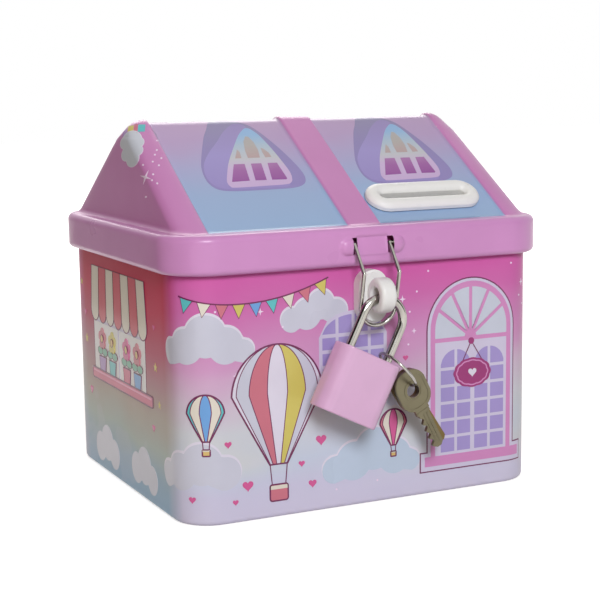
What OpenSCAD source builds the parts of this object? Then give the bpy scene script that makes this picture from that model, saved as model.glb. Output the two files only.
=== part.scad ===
// House-shaped tin money box: printed tinplate body, hinged roof lid with a
// coin slot, wire hasp, plastic staple with an eye, and a small key padlock.
// Millimetres, +Z up, front towards -Y. The origin is at the middle of the
// body's foot, on the surface that it stands on.

/* [Body] */
// Width of the body, left to right
body_w = 120; // [100:1:150]
// Depth of the body, front to back
body_d = 106; // [80:1:130]
// Height of the body's rolled rim, hidden inside the lid
body_h = 82; // [79:0.5:83]
// Corner radius of the body in plan
corner_r = 11.5; // [8:0.5:16]
// Thickness of the tinplate
tin = 0.5; // [0.4:0.05:0.7]
// Radius of the folded foot edge
foot_r = 1.6; // [1.2:0.1:2]
// Width of the flat hem under the foot that carries the base plate
hem_w = 2.2; // [1.6:0.1:4]
// Radius of the rolled rim
rim_r = 0.9; // [0.6:0.05:1.2]
// Width of the folded seam down the back
seam_w = 4; // [2:0.5:6]
// Height of the raised middle of the base plate above its edge
base_step = 1.2; // [0.6:0.1:2]

/* [Lid] */
// Height of the lid skirt's lower edge above the ground
skirt_z = 73.4; // [70:0.1:75]
// Height of the skirt
skirt_h = 11.6; // [10:0.1:14]
// How far the skirt stands out from the body
overhang = 3.1; // [2.4:0.1:4]
// Radius of the skirt's lower edge, curled in towards the body
curl_r = 1.7; // [1:0.1:1.8]
// Running gap between the curled edge and the body
lip_gap = 0.6; // [0.4:0.05:0.7]
// Radius of the skirt's upper edge
shoulder_r = 2.2; // [1:0.1:2.4]
// Height of the ridge above the ground
roof_top = 116.4; // [110:0.2:124]
// Radius of the ridge
ridge_r = 7; // [5:0.5:9]
// Plan radius of the roof's four lower corners
roof_corner_r = 9; // [6:0.5:12]
// Shoulder left in front of and behind the roof
shoulder_y = 4.9; // [3:0.1:7]
// Shoulder left at the gable ends
shoulder_x = 4.2; // [3:0.1:8]
// How far each gable leans in at the ridge
gable_lean = 1.3; // [0:0.1:4]
// Depth of the pressed roof panels below the ribs
panel_depth = 1; // [0.4:0.1:1.4]
// Width of the middle rib
rib_w = 11; // [6:0.5:16]
// Width of each end rib, measured from the edge of the body
end_rib_w = 9.8; // [6:0.2:14]

/* [Coin slot] */
// Length of the bezel around the coin slot
bezel_l = 40; // [36:0.2:41]
// Width of the bezel
bezel_w = 12.4; // [10:0.2:13]
// How far the bezel's rounded rim stands above the roof panel
bezel_h = 2.6; // [1.5:0.1:3.5]
// Length of the coin slot
slot_l = 30; // [27:0.5:32]
// Width of the coin slot
slot_w = 3; // [2.6:0.1:3.6]
// Distance from the panel's lower edge up the slope to the slot
slot_up = 12.6; // [10:0.1:16]

/* [Hinge] */
// Radius of the hinge pin
hinge_pin_r = 1; // [0.8:0.05:1.2]
// Thickness of the hinge leaves
leaf_t = 0.6; // [0.5:0.05:0.8]
// Width of the middle knuckle, on the body's leaf
body_knuckle_w = 16; // [10:0.5:24]
// Width of each outer knuckle, on the lid's leaf
lid_knuckle_w = 9.5; // [6:0.5:14]
// Height of the hinge pin above the ground
hinge_z = 73.6; // [73.4:0.1:74]

/* [Hasp and staple] */
// Sideways place of the hasp, staple and padlock
lock_x = -0.8; // [-6:0.1:6]
// Radius of the hasp wire
wire_r = 0.6; // [0.5:0.05:0.7]
// Half the spacing of the hasp's two legs
hasp_half = 5.85; // [5.75:0.05:6.2]
// Height of the hasp's pivot
pivot_z = 79.9; // [79.6:0.05:80.2]
// Height of the bend in the hasp's legs
kink_z = 71.8; // [71:0.1:73]
// How far the bend stands out from the body's front wall
kink_out = 8.7; // [8.4:0.1:9.2]
// Height of the hasp's lowest point
hasp_low_z = 55.8; // [54:0.1:56.4]
// How far the hasp's lowest point stands out from the front wall
hasp_low_out = 5.2; // [5:0.05:5.6]
// Width of the staple's base block
staple_w = 9.5; // [8:0.1:10]
// Height of the staple's base block
staple_h = 16; // [14:0.5:18]
// Thickness of the staple's base block
staple_t = 4.2; // [3:0.1:4.4]
// Height of the middle of the staple
staple_z = 64.2; // [63:0.1:66]
// Outer radius of the staple's eye
eye_r = 5.2; // [4.8:0.1:5.4]
// Radius of the hole in the eye
eye_hole_r = 2.35; // [2.3:0.05:2.5]
// Thickness of the eye, left to right
eye_t = 5; // [3.5:0.1:5.2]
// Height of the eye's hole
eye_z = 65.2; // [64.5:0.1:66]

/* [Padlock] */
// Width of the padlock's case
case_w = 21; // [20.6:0.1:24]
// Thickness of the padlock's case
case_t = 10.5; // [10:0.1:12]
// Height of the padlock's case
case_h = 20; // [20:0.1:24]
// Plan radius of the case's rounded sides
case_r = 4; // [3:0.1:5]
// Radius of the shackle rod
rod_r = 1.35; // [1.2:0.05:1.45]
// Half the spacing of the shackle's legs
leg_x = 6.8; // [6.6:0.05:7.2]
// Height of the shackle's bend centre above the middle of the case
bow_z = 20.6; // [19:0.1:24]
// How far the padlock leans sideways, in degrees
lean = 26.5; // [0:0.5:30]
// Play between the shackle and the bottom of the eye
seat_gap = 0.3; // [0.25:0.05:0.4]
// Distance of the padlock's middle plane from the front wall
lock_out = 8.8; // [8.6:0.1:9.4]
// How far the shackle lifts when it opens
shackle_lift = 6.8; // [6.4:0.1:7]

/* [Keys] */
// Radius of the key ring, to the middle of its wire
ring_r = 6.9; // [6.6:0.1:8]
// Radius of the key ring's wire
ring_wire_r = 0.45; // [0.35:0.05:0.5]
// Angle of the hanging key ring below level, in degrees
ring_dip = 49; // [44:1:51]
// Thickness of a key
key_t = 1.2; // [0.8:0.1:1.3]
// Width of a key's bow
bow_w = 10.6; // [9:0.2:11]
// Length of a key's bow
bow_l = 13; // [11:0.2:13.4]
// Length of a key's blade
blade_l = 13.6; // [10:0.2:16]
// Width of a key's blade
blade_w = 3.7; // [3:0.1:4]
// Lean of the front key from plumb, in degrees
key_lean = 27; // [10:1:35]
// Extra lean of the back key, in degrees
key_spread = 6; // [0:1:10]

/* [Hidden] */

$fn = 48;
eps = 0.01;
fit = 0.05;                 // radial clearance of pins and pegs in their holes

// planes and levels
front_y = -body_d / 2;
back_y = body_d / 2;
skirt_front_y = front_y - overhang;
skirt_back_y = back_y + overhang;
skirt_top = skirt_z + skirt_h;
lid_r = corner_r + overhang;

// roof
roof_base_z = skirt_top - tin - 0.1;
roof_hx = body_w / 2 + overhang - shoulder_x;
roof_hy = body_d / 2 + overhang - shoulder_y;
ridge_hx = roof_hx - gable_lean;
ridge_axis_z = roof_top - ridge_r;
rib_x = body_w / 2 - end_rib_w;     // inner edge of each end rib

// angle of the roof slope, for a surface offset by o from the ribs
function slope(o) =
    atan2(ridge_axis_z - roof_base_z, roof_hy + o)
    + asin((ridge_r + o) / norm([roof_hy + o, ridge_axis_z - roof_base_z]));

panel_slope = slope(-panel_depth);
bezel_side = 0.35;                  // gap between the bezel and the middle rib
slot_x = rib_w / 2 + bezel_l / 2 + bezel_side;
slot_y = -(roof_hy - panel_depth) + slot_up * cos(panel_slope);
slot_z = roof_base_z + slot_up * sin(panel_slope);
neck_wall = 1.4;                    // wall of the bezel's neck around the slot
bezel_snap = 0.55;                  // reach of the bezel's snap lugs under the tin

// hinge
knuckle_r = hinge_pin_r + fit + leaf_t;
hinge_y = skirt_back_y + knuckle_r;
knuckle_gap = 0.2;
hinge_w = body_knuckle_w + 2 * (lid_knuckle_w + knuckle_gap);
leaf_top = skirt_top - shoulder_r - 0.6;
body_leaf_low = hinge_z - 14;

// hasp
pivot_y = skirt_front_y + 0.3;
kink_y = front_y - kink_out;
hasp_low_y = front_y - hasp_low_out;
hasp_tilt = atan2(kink_out - hasp_low_out, kink_z - hasp_low_z);
bump_r = 2.9;                       // curvature of the pressed hinge housings
bump_out = 1.2;                     // how far they stand out from the skirt
bump_depth = 1.6;                   // how far they reach in behind it
bump_z = pivot_z - 0.6;
bump_y = skirt_front_y - bump_out + bump_r;
bump_x = hasp_half + 2.8;           // centre of each housing's round end
slit_in = hasp_half - wire_r - 0.15;
slit_out = hasp_half + wire_r + 0.25;
pin_reach = hasp_half + 3.7;        // outer end of the hasp's bent-out pivots

// staple
staple_y = front_y - staple_t;
lock_y = front_y - lock_out;
peg_r = 1.5;
peg_z = staple_h / 2 - staple_w / 2 + 0.7;   // pegs above and below the middle
peg_head_r = 2.2;
peg_head_h = 1;

// padlock: the shackle's bend hangs in the eye, and the rest follows from it
hang_z = eye_z - (eye_hole_r - rod_r - seat_gap);
case_x = lock_x - bow_z * sin(lean);
case_z = hang_z - leg_x - bow_z * cos(lean);
leg_fit = 0.07;
long_leg_low = -case_h / 2 + 5;
short_leg_low = case_h / 2 - 6;
latch_z = case_h / 2 - 3;           // middle of the latch
latch_h = 2;
latch_w = 2.8;
latch_bite = 0.9;                   // how deep the latch sits in the short leg
latch_end = 1.9;
cam_e = 0.8;                        // throw of the plug's driving pin
cam_r = 0.55;
cam_play = 0.08;
cam_throw = 2 * cam_e * cos(45);    // travel of the latch over a quarter turn
ramp_rise = cam_throw * (latch_z - latch_h / 2 - short_leg_low) / shackle_lift;
latch_room = 4.6;                   // inner end of the latch's channel
latch_coil = 1.5;
plug_r = 2.6;
plug_top = latch_z - latch_h / 2 - 1.6;
stack_z = [for (i = [0:2]) -case_h / 2 + 3.5 + 2.5 * i];   // the three pin stacks
stack_r = 0.55;
stack_end = 4.8;
driver_end = 3.7;
keyway_w = key_t + 0.1;
keyway_half = 1.9;
groove_z = -case_h / 2 + 1.4;
groove_r = 2.05;
retain_r = 0.45;

// key ring and keys
ring_top_x = leg_x - rod_r - ring_wire_r - 0.1;
ring_top_z = case_h / 2 + 2;
bow_r = 4.6;
key_hole_r = 2.1;
hang_drop = key_hole_r - ring_wire_r - 0.2;
key_gap = 0.3;

// ---------- shared shapes ----------

// rounded rectangle in plan
module plan(w, d, r) {
    square([w - 2 * r, d], center = true);
    square([w, d - 2 * r], center = true);
    for (sx = [-1, 1], sy = [-1, 1])
        translate([sx * (w / 2 - r), sy * (d / 2 - r)]) circle(r);
}

module slab(w, d, r, z0, z1) {
    translate([0, 0, z0]) linear_extrude(z1 - z0) plan(w, d, r);
}

// carries a section round a rounded box: x is measured out from the corner's axis
module around_box(w, d, r) {
    for (k = [0:3]) {
        run = (k % 2 == 0 ? d : w) - 2 * r;
        out = (k % 2 == 0 ? w : d) / 2 - r;
        rotate([0, 0, 90 * k]) translate([out, run / 2, 0]) {
            rotate([90, 0, 0]) linear_extrude(run) children();
            rotate_extrude(angle = 90, $fn = 64) children();
        }
    }
}

// carries a section round a stadium of length l between its end centres
module around_stadium(l) {
    for (s = [0, 180]) rotate([0, 0, s]) translate([l / 2, 0, 0]) {
        rotate([0, 0, -90]) rotate_extrude(angle = 180, $fn = 48) children();
        rotate([0, 0, 90]) rotate([90, 0, 0]) mirror([0, 0, 1]) linear_extrude(l) children();
    }
}

module stadium(l, r) {
    square([l, 2 * r], center = true);
    for (s = [-1, 1]) translate([s * l / 2, 0]) circle(r);
}

// a quarter of a ring of sheet, bent round (x, y); sy picks the upper or lower quarter
module bend(x, y, r, sy) {
    translate([x, y]) intersection() {
        difference() {
            circle(r);
            circle(r - tin);
        }
        translate([0, sy > 0 ? 0 : -r]) square([r, r]);
    }
}

// rod between two points
module rod(p, q, r) {
    v = q - p;
    translate(p)
        rotate([0, acos(v[2] / norm(v)), atan2(v[1], v[0])])
            cylinder(h = norm(v), r = r, $fn = 24);
}

module ball(p, r) {
    translate(p) sphere(r, $fn = 24);
}

// helical springs are stood in by a close-wound tube with grooved coils
module coil_stack(r, wire, h) {
    turns = floor(h / wire);
    pitch = h / turns;
    rotate_extrude($fn = 24) {
        for (i = [0:turns - 1])
            translate([r - wire / 2, (i + 0.5) * pitch]) circle(wire / 2, $fn = 16);
        translate([r - wire * 0.65, wire * 0.2]) square([wire * 0.3, h - wire * 0.4]);
    }
}

// the padlock's own frame: x across the case, z up the shackle, y through it
module in_lock() {
    translate([case_x, lock_y, case_z]) rotate([0, lean, 0]) children();
}

// ---------- body ----------

module wall_section() {
    translate([corner_r - tin, foot_r]) square([tin, body_h - foot_r - rim_r]);
    bend(corner_r - foot_r, foot_r, foot_r, -1);
    translate([corner_r - foot_r - hem_w, 0]) square([hem_w, tin]);
    translate([corner_r - rim_r, body_h - rim_r]) circle(rim_r);
}

module body_shell() {
    color([0.80, 0.42, 0.66]) difference() {
        union() {
            around_box(body_w, body_d, corner_r) wall_section();
            // inner fold of the lock seam down the back
            translate([-body_w / 3, back_y - 2 * tin, foot_r])
                cube([seam_w, tin + eps, body_h - foot_r - 2 * rim_r]);
        }
        // the seam's outer groove
        translate([-body_w / 3, back_y - tin / 3, foot_r])
            cube([tin, tin, body_h - foot_r - 2 * rim_r]);
        for (s = [-1, 1]) translate([lock_x, front_y, staple_z + s * peg_z])
            rotate([90, 0, 0]) cylinder(h = 4 * tin, r = peg_r + fit, center = true);
    }
}

module base_plate() {
    edge = 2 * foot_r + 0.2;
    inset = edge + 8;
    w = body_w - edge;
    d = body_d - edge;
    r = corner_r - edge / 2;
    iw = body_w - inset;
    id = body_d - inset;
    ir = corner_r - inset / 2;
    color([0.78, 0.78, 0.80]) {
        difference() {
            slab(w, d, r, tin, 2 * tin);
            slab(iw, id, ir, 0, 3 * tin);
        }
        difference() {
            slab(iw + 2 * tin, id + 2 * tin, ir + tin, tin, 2 * tin + base_step);
            slab(iw, id, ir, 0, tin + base_step);
        }
    }
}

// ---------- lid ----------

module skirt_section() {
    lip_in = corner_r + lip_gap;
    translate([lid_r - tin, skirt_z + curl_r]) square([tin, skirt_h - curl_r - shoulder_r]);
    bend(lid_r - curl_r, skirt_z + curl_r, curl_r, -1);
    translate([lip_in, skirt_z]) square([lid_r - curl_r - lip_in, tin]);
    bend(lid_r - shoulder_r, skirt_top - shoulder_r, shoulder_r, 1);
}

// the roof's smooth outer form, offset by o
module roof_form(o, low) {
    hull() {
        for (sx = [-1, 1], sy = [-1, 1])
            translate([sx * (roof_hx - roof_corner_r), sy * (roof_hy - roof_corner_r), low])
                cylinder(h = roof_base_z - low + eps, r = roof_corner_r + o, $fn = 32);
        for (sx = [-1, 1])
            translate([sx * (ridge_hx - ridge_r), 0, ridge_axis_z]) sphere(ridge_r + o, $fn = 32);
    }
}

// the three ribs' share of the roof, narrowed by inset on every edge
module rib_bands(inset) {
    far = body_w;
    translate([0, 0, skirt_z]) linear_extrude(roof_top) {
        square([rib_w - 2 * inset, 2 * body_d], center = true);
        for (s = [-1, 1])
            translate([s * (rib_x + inset + far / 2), 0]) square([far, 2 * body_d], center = true);
    }
}

// ribs over recessed panels; o is 0 for the outside and -tin for the inside
module roof_solid(o, low) {
    roof_form(o - panel_depth, low);
    intersection() {
        roof_form(o, low);
        rib_bands(-o);
    }
}

module in_slot_frame() {
    translate([slot_x, slot_y, slot_z]) rotate([panel_slope, 0, 0]) children();
}

// one pressed housing for the hasp's pivot: a half-sunk rod with a round end
module bump(r) {
    translate([slit_out, bump_y, bump_z]) rotate([0, 90, 0])
        cylinder(h = bump_x - slit_out, r = r);
    translate([bump_x, bump_y, bump_z]) sphere(r);
}

module at_both_sides() {
    translate([lock_x, 0, 0]) {
        children();
        mirror([1, 0, 0]) children();
    }
}

module roof_lid() {
    top_w = body_w + 2 * (overhang - shoulder_r);
    top_d = body_d + 2 * (overhang - shoulder_r);
    slit_low = bump_z - 2.2;
    slit_high = bump_z + 2.5;
    tongue_w = 2 * slit_in - 0.2;
    color([0.80, 0.57, 0.77]) difference() {
        union() {
            difference() {
                union() {
                    around_box(body_w + 2 * overhang, body_d + 2 * overhang, lid_r)
                        skirt_section();
                    slab(top_w, top_d, lid_r - shoulder_r, skirt_top - tin, skirt_top);
                    roof_solid(0, roof_base_z - eps);
                }
                roof_solid(-tin, roof_base_z - 2 * tin);
                // window from which the tongue is pressed
                translate([lock_x - slit_in, skirt_front_y - tin, slit_low + 1])
                    cube([2 * slit_in, 3 * tin, slit_high - slit_low - 1]);
            }
            at_both_sides() bump(bump_r);
            // tongue pressed in between the two slits
            translate([lock_x - tongue_w / 2, skirt_front_y, slit_low + 0.9])
                rotate([-13, 0, 0]) cube([tongue_w, tin, slit_high - slit_low - 1.1]);
        }
        at_both_sides() {
            bump(bump_r - tin);
            translate([slit_in, skirt_front_y - 2 * bump_out, slit_low])
                cube([slit_out - slit_in + eps, 2 * bump_out + bump_depth + 1,
                      slit_high - slit_low]);
        }
        // trims the housings inside the skirt
        translate([lock_x - 2 * bump_x, skirt_front_y + bump_depth, bump_z - bump_r - 1])
            cube([4 * bump_x, 2 * bump_r, 2 * bump_r + 2]);
        in_slot_frame() translate([0, 0, -3]) linear_extrude(6)
            stadium(slot_l - slot_w, slot_w / 2 + neck_wall + fit);
    }
}

module bezel_section() {
    inner = slot_w / 2;
    outer = bezel_w / 2;
    mid = (inner + outer) / 2;
    half = (outer - inner) / 2;
    // rounded rim
    intersection() {
        translate([mid, bezel_h - half * 1.1]) circle(half * 1.1);
        translate([inner, 0]) square([2 * half, bezel_h]);
    }
    translate([inner + 0.1, 0]) square([2 * half - 0.2, bezel_h * 0.35]);
    // neck through the tin, with its snap lug
    translate([inner, -tin - 2]) square([neck_wall, tin + 2.1]);
    translate([inner, -tin - 2]) square([neck_wall + bezel_snap, 1.9]);
}

module coin_slot_bezel() {
    color([0.90, 0.90, 0.90]) in_slot_frame()
        around_stadium(slot_l - slot_w) bezel_section();
}

// ---------- hinge ----------

module knuckle(x0, w) {
    translate([x0, hinge_y, hinge_z]) rotate([0, 90, 0]) cylinder(h = w, r = knuckle_r);
}

module pin_bore() {
    translate([-hinge_w, hinge_y, hinge_z]) rotate([0, 90, 0])
        cylinder(h = 2 * hinge_w, r = hinge_pin_r + fit);
}

module hinge_body_leaf() {
    half = body_knuckle_w / 2;
    color([0.75, 0.75, 0.77]) difference() {
        union() {
            translate([-hinge_w / 2, back_y, body_leaf_low])
                cube([hinge_w, leaf_t, hinge_z - knuckle_r + leaf_t - body_leaf_low]);
            translate([-half, back_y, hinge_z - knuckle_r])
                cube([body_knuckle_w, hinge_y - back_y, leaf_t]);
            knuckle(-half, body_knuckle_w);
        }
        pin_bore();
    }
}

module hinge_lid_leaf() {
    half = body_knuckle_w / 2 + knuckle_gap;
    notch = hinge_z + knuckle_r + knuckle_gap;
    color([0.75, 0.75, 0.77]) difference() {
        union() {
            translate([-hinge_w / 2, skirt_back_y, hinge_z])
                cube([hinge_w, leaf_t, leaf_top - hinge_z]);
            for (s = [-1, 1])
                knuckle(s > 0 ? half : -half - lid_knuckle_w, lid_knuckle_w);
        }
        pin_bore();
        translate([-half, skirt_back_y - 1, hinge_z - 2]) cube([2 * half, 5, notch - hinge_z + 2]);
    }
}

module hinge_pin() {
    head = 0.5;
    color([0.70, 0.70, 0.72]) translate([-hinge_w / 2 - head, hinge_y, hinge_z])
        rotate([0, 90, 0]) {
            cylinder(h = hinge_w + 2 * head, r = hinge_pin_r);
            for (z = [0, hinge_w + head + fit])
                translate([0, 0, z]) cylinder(h = head - fit, r = hinge_pin_r + 0.3);
        }
}

// ---------- hasp and staple ----------

module hasp_wire() {
    straight = (kink_z - hasp_low_z) / cos(hasp_tilt) - hasp_half;
    color([0.82, 0.82, 0.80]) {
        at_both_sides() {
            rod([pin_reach, pivot_y, pivot_z], [hasp_half, pivot_y, pivot_z], wire_r);
            ball([hasp_half, pivot_y, pivot_z], wire_r);
            rod([hasp_half, pivot_y, pivot_z], [hasp_half, kink_y, kink_z], wire_r);
            ball([hasp_half, kink_y, kink_z], wire_r);
        }
        // lower loop, in the plane that leans back to the staple
        translate([lock_x, kink_y, kink_z]) rotate([hasp_tilt, 0, 0]) {
            for (s = [-1, 1]) translate([s * hasp_half, 0, -straight])
                cylinder(h = straight, r = wire_r, $fn = 24);
            translate([0, 0, -straight]) rotate([90, 0, 0]) rotate([0, 0, 180])
                rotate_extrude(angle = 180) translate([hasp_half, 0]) circle(wire_r, $fn = 24);
        }
    }
}

module eye_section() {
    edge = 1.2;
    translate([eye_hole_r, -eye_t / 2]) square([eye_r - edge - eye_hole_r, eye_t]);
    translate([eye_hole_r, -eye_t / 2 + edge]) square([eye_r - eye_hole_r, eye_t - 2 * edge]);
    for (s = [-1, 1]) translate([eye_r - edge, s * (eye_t / 2 - edge)]) circle(edge);
}

module staple_eye() {
    flare = 0.6;
    color([0.90, 0.90, 0.89]) difference() {
        union() {
            // base block, its front edge set in
            translate([lock_x, front_y, staple_z]) rotate([90, 90, 0]) {
                linear_extrude(staple_t - 0.7) stadium(staple_h - staple_w, staple_w / 2);
                linear_extrude(staple_t) stadium(staple_h - staple_w, staple_w / 2 - 0.7);
            }
            translate([lock_x, lock_y, eye_z]) rotate([0, 90, 0]) rotate_extrude() eye_section();
            // web that joins the eye to the block
            translate([lock_x - eye_t / 2 + 1, lock_y, eye_z - 2.6])
                cube([eye_t - 2, staple_y - lock_y + 0.5, 5.2]);
            for (s = [-1, 1]) translate([lock_x, front_y + eps, staple_z + s * peg_z])
                rotate([-90, 0, 0]) {
                    translate([0, 0, -0.5]) cylinder(h = tin + fit + 0.5 + peg_head_h, r = peg_r);
                    translate([0, 0, tin + fit]) cylinder(h = peg_head_h, r = peg_head_r);
                }
        }
        translate([lock_x, lock_y, eye_z]) rotate([0, 90, 0]) {
            cylinder(h = 2 * eye_t, r = eye_hole_r, center = true);
            for (s = [-1, 1]) translate([0, 0, s * (eye_t / 2 - flare / 2)])
                cylinder(h = flare + eps, center = true,
                         r1 = eye_hole_r + (s > 0 ? 0 : flare),
                         r2 = eye_hole_r + (s > 0 ? flare : 0));
        }
    }
}

// ---------- padlock ----------

// a slab whose upper and lower edges are rounded by b
module soft_slab(w, d, r, z0, z1, b) {
    slab(w, d, r, z0 + b, z1 - b);
    slab(w - 2 * b, d - 2 * b, r - b, z0, z1);
    around_box(w, d, r) for (z = [z0 + b, z1 - b]) translate([r - b, z]) circle(b, $fn = 24);
}

module padlock_case() {
    edge = 0.5;
    color([0.86, 0.70, 0.84]) in_lock() difference() {
        soft_slab(case_w, case_t, case_r, -case_h / 2, case_h / 2, edge);
        // shackle bores
        translate([leg_x, 0, long_leg_low - 3]) cylinder(h = case_h + 8, r = rod_r + leg_fit);
        translate([-leg_x, 0, short_leg_low - 0.4]) cylinder(h = case_h, r = rod_r + leg_fit);
        // plug bore, open at the bottom, and the way up to the latch
        translate([0, 0, -case_h / 2 - 1])
            cylinder(h = plug_top + 0.1 + case_h / 2 + 1, r = plug_r + fit);
        cylinder(h = latch_z, r = cam_e + cam_r + 0.1);
        // latch channel
        translate([-leg_x, -latch_w / 2 - fit, latch_z - latch_h / 2 - fit])
            cube([leg_x + latch_room, latch_w + 2 * fit, latch_h + 2 * fit]);
        // pin chambers
        for (z = stack_z) translate([0, 0, z]) rotate([0, 90, 0])
            cylinder(h = stack_end, r = stack_r + fit);
        // bore of the plug's retaining pin, from the back
        translate([-groove_r - fit - retain_r, case_t / 2 + 1, groove_z]) rotate([90, 0, 0])
            cylinder(h = case_t - 1, r = retain_r + 0.01);
    }
}

module padlock_shackle() {
    mouth = latch_bite + 0.1;
    color([0.80, 0.80, 0.78]) in_lock() difference() {
        union() {
            translate([leg_x, 0, long_leg_low]) cylinder(h = bow_z - long_leg_low, r = rod_r);
            translate([-leg_x, 0, short_leg_low]) cylinder(h = bow_z - short_leg_low, r = rod_r);
            translate([0, 0, bow_z]) rotate([90, 0, 0])
                rotate_extrude(angle = 180) translate([leg_x, 0]) circle(rod_r);
        }
        // latch notch, which runs out as a ramp to the end of the short leg
        translate([-leg_x + rod_r, 0, 0]) rotate([90, 0, 0])
            translate([0, 0, -2 * rod_r]) linear_extrude(4 * rod_r)
                polygon([[eps, latch_z + latch_h / 2 + 0.15],
                         [-mouth, latch_z + latch_h / 2 + 0.15],
                         [-mouth, latch_z - latch_h / 2 - 0.1],
                         [-mouth + ramp_rise, short_leg_low - 0.1],
                         [eps, short_leg_low - 0.1]]);
    }
}

module lock_plug() {
    color([0.80, 0.70, 0.40]) in_lock() difference() {
        union() {
            translate([0, 0, -case_h / 2]) cylinder(h = plug_top + case_h / 2, r = plug_r);
            translate([cam_e * cos(225), cam_e * sin(225), plug_top - eps])
                cylinder(h = latch_z + 0.4 - plug_top, r = cam_r);
        }
        // keyway
        translate([-keyway_half, -keyway_w / 2, -case_h / 2 - 1])
            cube([2 * keyway_half, keyway_w, case_h / 2 + 1.5]);
        for (z = stack_z) translate([0, 0, z]) rotate([0, 90, 0])
            cylinder(h = 2 * plug_r, r = stack_r + fit);
        // groove for the retaining pin
        translate([0, 0, groove_z - retain_r - fit]) rotate_extrude()
            translate([groove_r, 0]) square([plug_r, 2 * (retain_r + fit)]);
    }
}

module lock_latch() {
    tip = -leg_x + rod_r - latch_bite;
    pin_x = cam_e * cos(225);
    color([0.70, 0.70, 0.72]) in_lock() difference() {
        translate([tip, -latch_w / 2, latch_z - latch_h / 2])
            cube([latch_end - tip, latch_w, latch_h]);
        translate([pin_x - cam_r - cam_play, -latch_w, latch_z - latch_h])
            cube([2 * (cam_r + cam_play), latch_w + 0.15, latch_h + 0.6]);
    }
}

module latch_spring() {
    color([0.72, 0.72, 0.74]) in_lock()
        translate([latch_room - latch_coil, 0, latch_z]) rotate([0, 90, 0])
            coil_stack(0.9, 0.3, latch_coil);
}

module shackle_spring() {
    color([0.72, 0.72, 0.74]) in_lock()
        translate([leg_x, 0, long_leg_low - 3]) coil_stack(1.2, 0.4, 3);
}

module driver_pins() {
    color([0.80, 0.70, 0.40]) in_lock() for (z = stack_z)
        translate([plug_r + fit + 0.02, 0, z]) rotate([0, 90, 0])
            cylinder(h = driver_end - plug_r - fit - 0.02, r = stack_r);
}

module key_pins() {
    color([0.80, 0.70, 0.40]) in_lock() for (i = [0:2])
        translate([0.9 + 0.25 * (i % 2), 0, stack_z[i]]) rotate([0, 90, 0])
            cylinder(h = plug_r - 1 - 0.25 * (i % 2), r = stack_r);
}

module pin_springs() {
    color([0.72, 0.72, 0.74]) in_lock() for (z = stack_z)
        translate([driver_end, 0, z]) rotate([0, 90, 0])
            coil_stack(stack_r, 0.2, stack_end - driver_end);
}

module plug_retaining_pin() {
    color([0.70, 0.70, 0.72]) in_lock()
        translate([-groove_r - fit - retain_r, case_t / 2 - 0.3, groove_z]) rotate([90, 0, 0])
            cylinder(h = case_t - 2.4, r = retain_r);
}

// ---------- key ring and keys ----------

// the ring's own frame: origin at its top, x down the dip, y through the lock
module in_ring() {
    in_lock() translate([ring_top_x, 0, ring_top_z])
        rotate([0, ring_dip - lean, 0]) children();
}

// the keys' frame: origin on the ring's wire at its lowest point, upright
module on_ring(turn) {
    in_ring() translate([2 * ring_r, 0, 0]) rotate([0, -ring_dip, 0])
        translate([0, 0, -hang_drop]) rotate([0, -turn, 0]) children();
}

module key_ring() {
    color([0.80, 0.80, 0.78]) in_ring() translate([ring_r, 0, 0])
        rotate_extrude() translate([ring_r, 0]) circle(ring_wire_r, $fn = 24);
}

module key_outline() {
    tip = -bow_l / 2 - blade_l;
    cut = 1;
    difference() {
        union() {
            plan(bow_w, bow_l, bow_r);
            translate([-blade_w / 2, tip + 1]) square([blade_w, blade_l]);
            polygon([[-blade_w / 2, tip + 1], [-0.6, tip], [0.8, tip], [blade_w / 2, tip + 1]]);
            translate([-blade_w / 2 - 0.5, -bow_l / 2 - 1.6]) square([blade_w + 1, 2.6]);
        }
        circle(key_hole_r);
        // cuts along the blade's left edge
        for (i = [0:3]) translate([-blade_w / 2, tip + 2.6 + 2.5 * i])
            polygon([[-eps, -1.1], [cut, -0.4 + 0.15 * i], [cut - 0.3 * (i % 2), 0.4], [-eps, 1.1]]);
    }
}

module key_blank(side) {
    translate([0, side * (key_t + key_gap) / 2 + key_t / 2, 0])
        rotate([90, 0, 0]) linear_extrude(key_t) key_outline();
}

module key_front() {
    color([0.55, 0.53, 0.44]) on_ring(key_lean) key_blank(-1);
}

module key_back() {
    color([0.50, 0.43, 0.28]) on_ring(key_lean + key_spread) key_blank(1);
}

// ---------- assembly ----------

body_shell();
base_plate();
hinge_body_leaf();
hinge_lid_leaf();
hinge_pin();
roof_lid();
coin_slot_bezel();
hasp_wire();
staple_eye();
padlock_case();
padlock_shackle();
lock_plug();
lock_latch();
latch_spring();
shackle_spring();
driver_pins();
key_pins();
pin_springs();
plug_retaining_pin();
key_ring();
key_front();
key_back();
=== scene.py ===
from math import asin, atan2, copysign, cos, hypot, pi, radians, sin, sqrt, tan
import bmesh
import bpy
from mathutils import Matrix, Vector
from mathutils.bvhtree import BVHTree
from mathutils.geometry import tessellate_polygon


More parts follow.
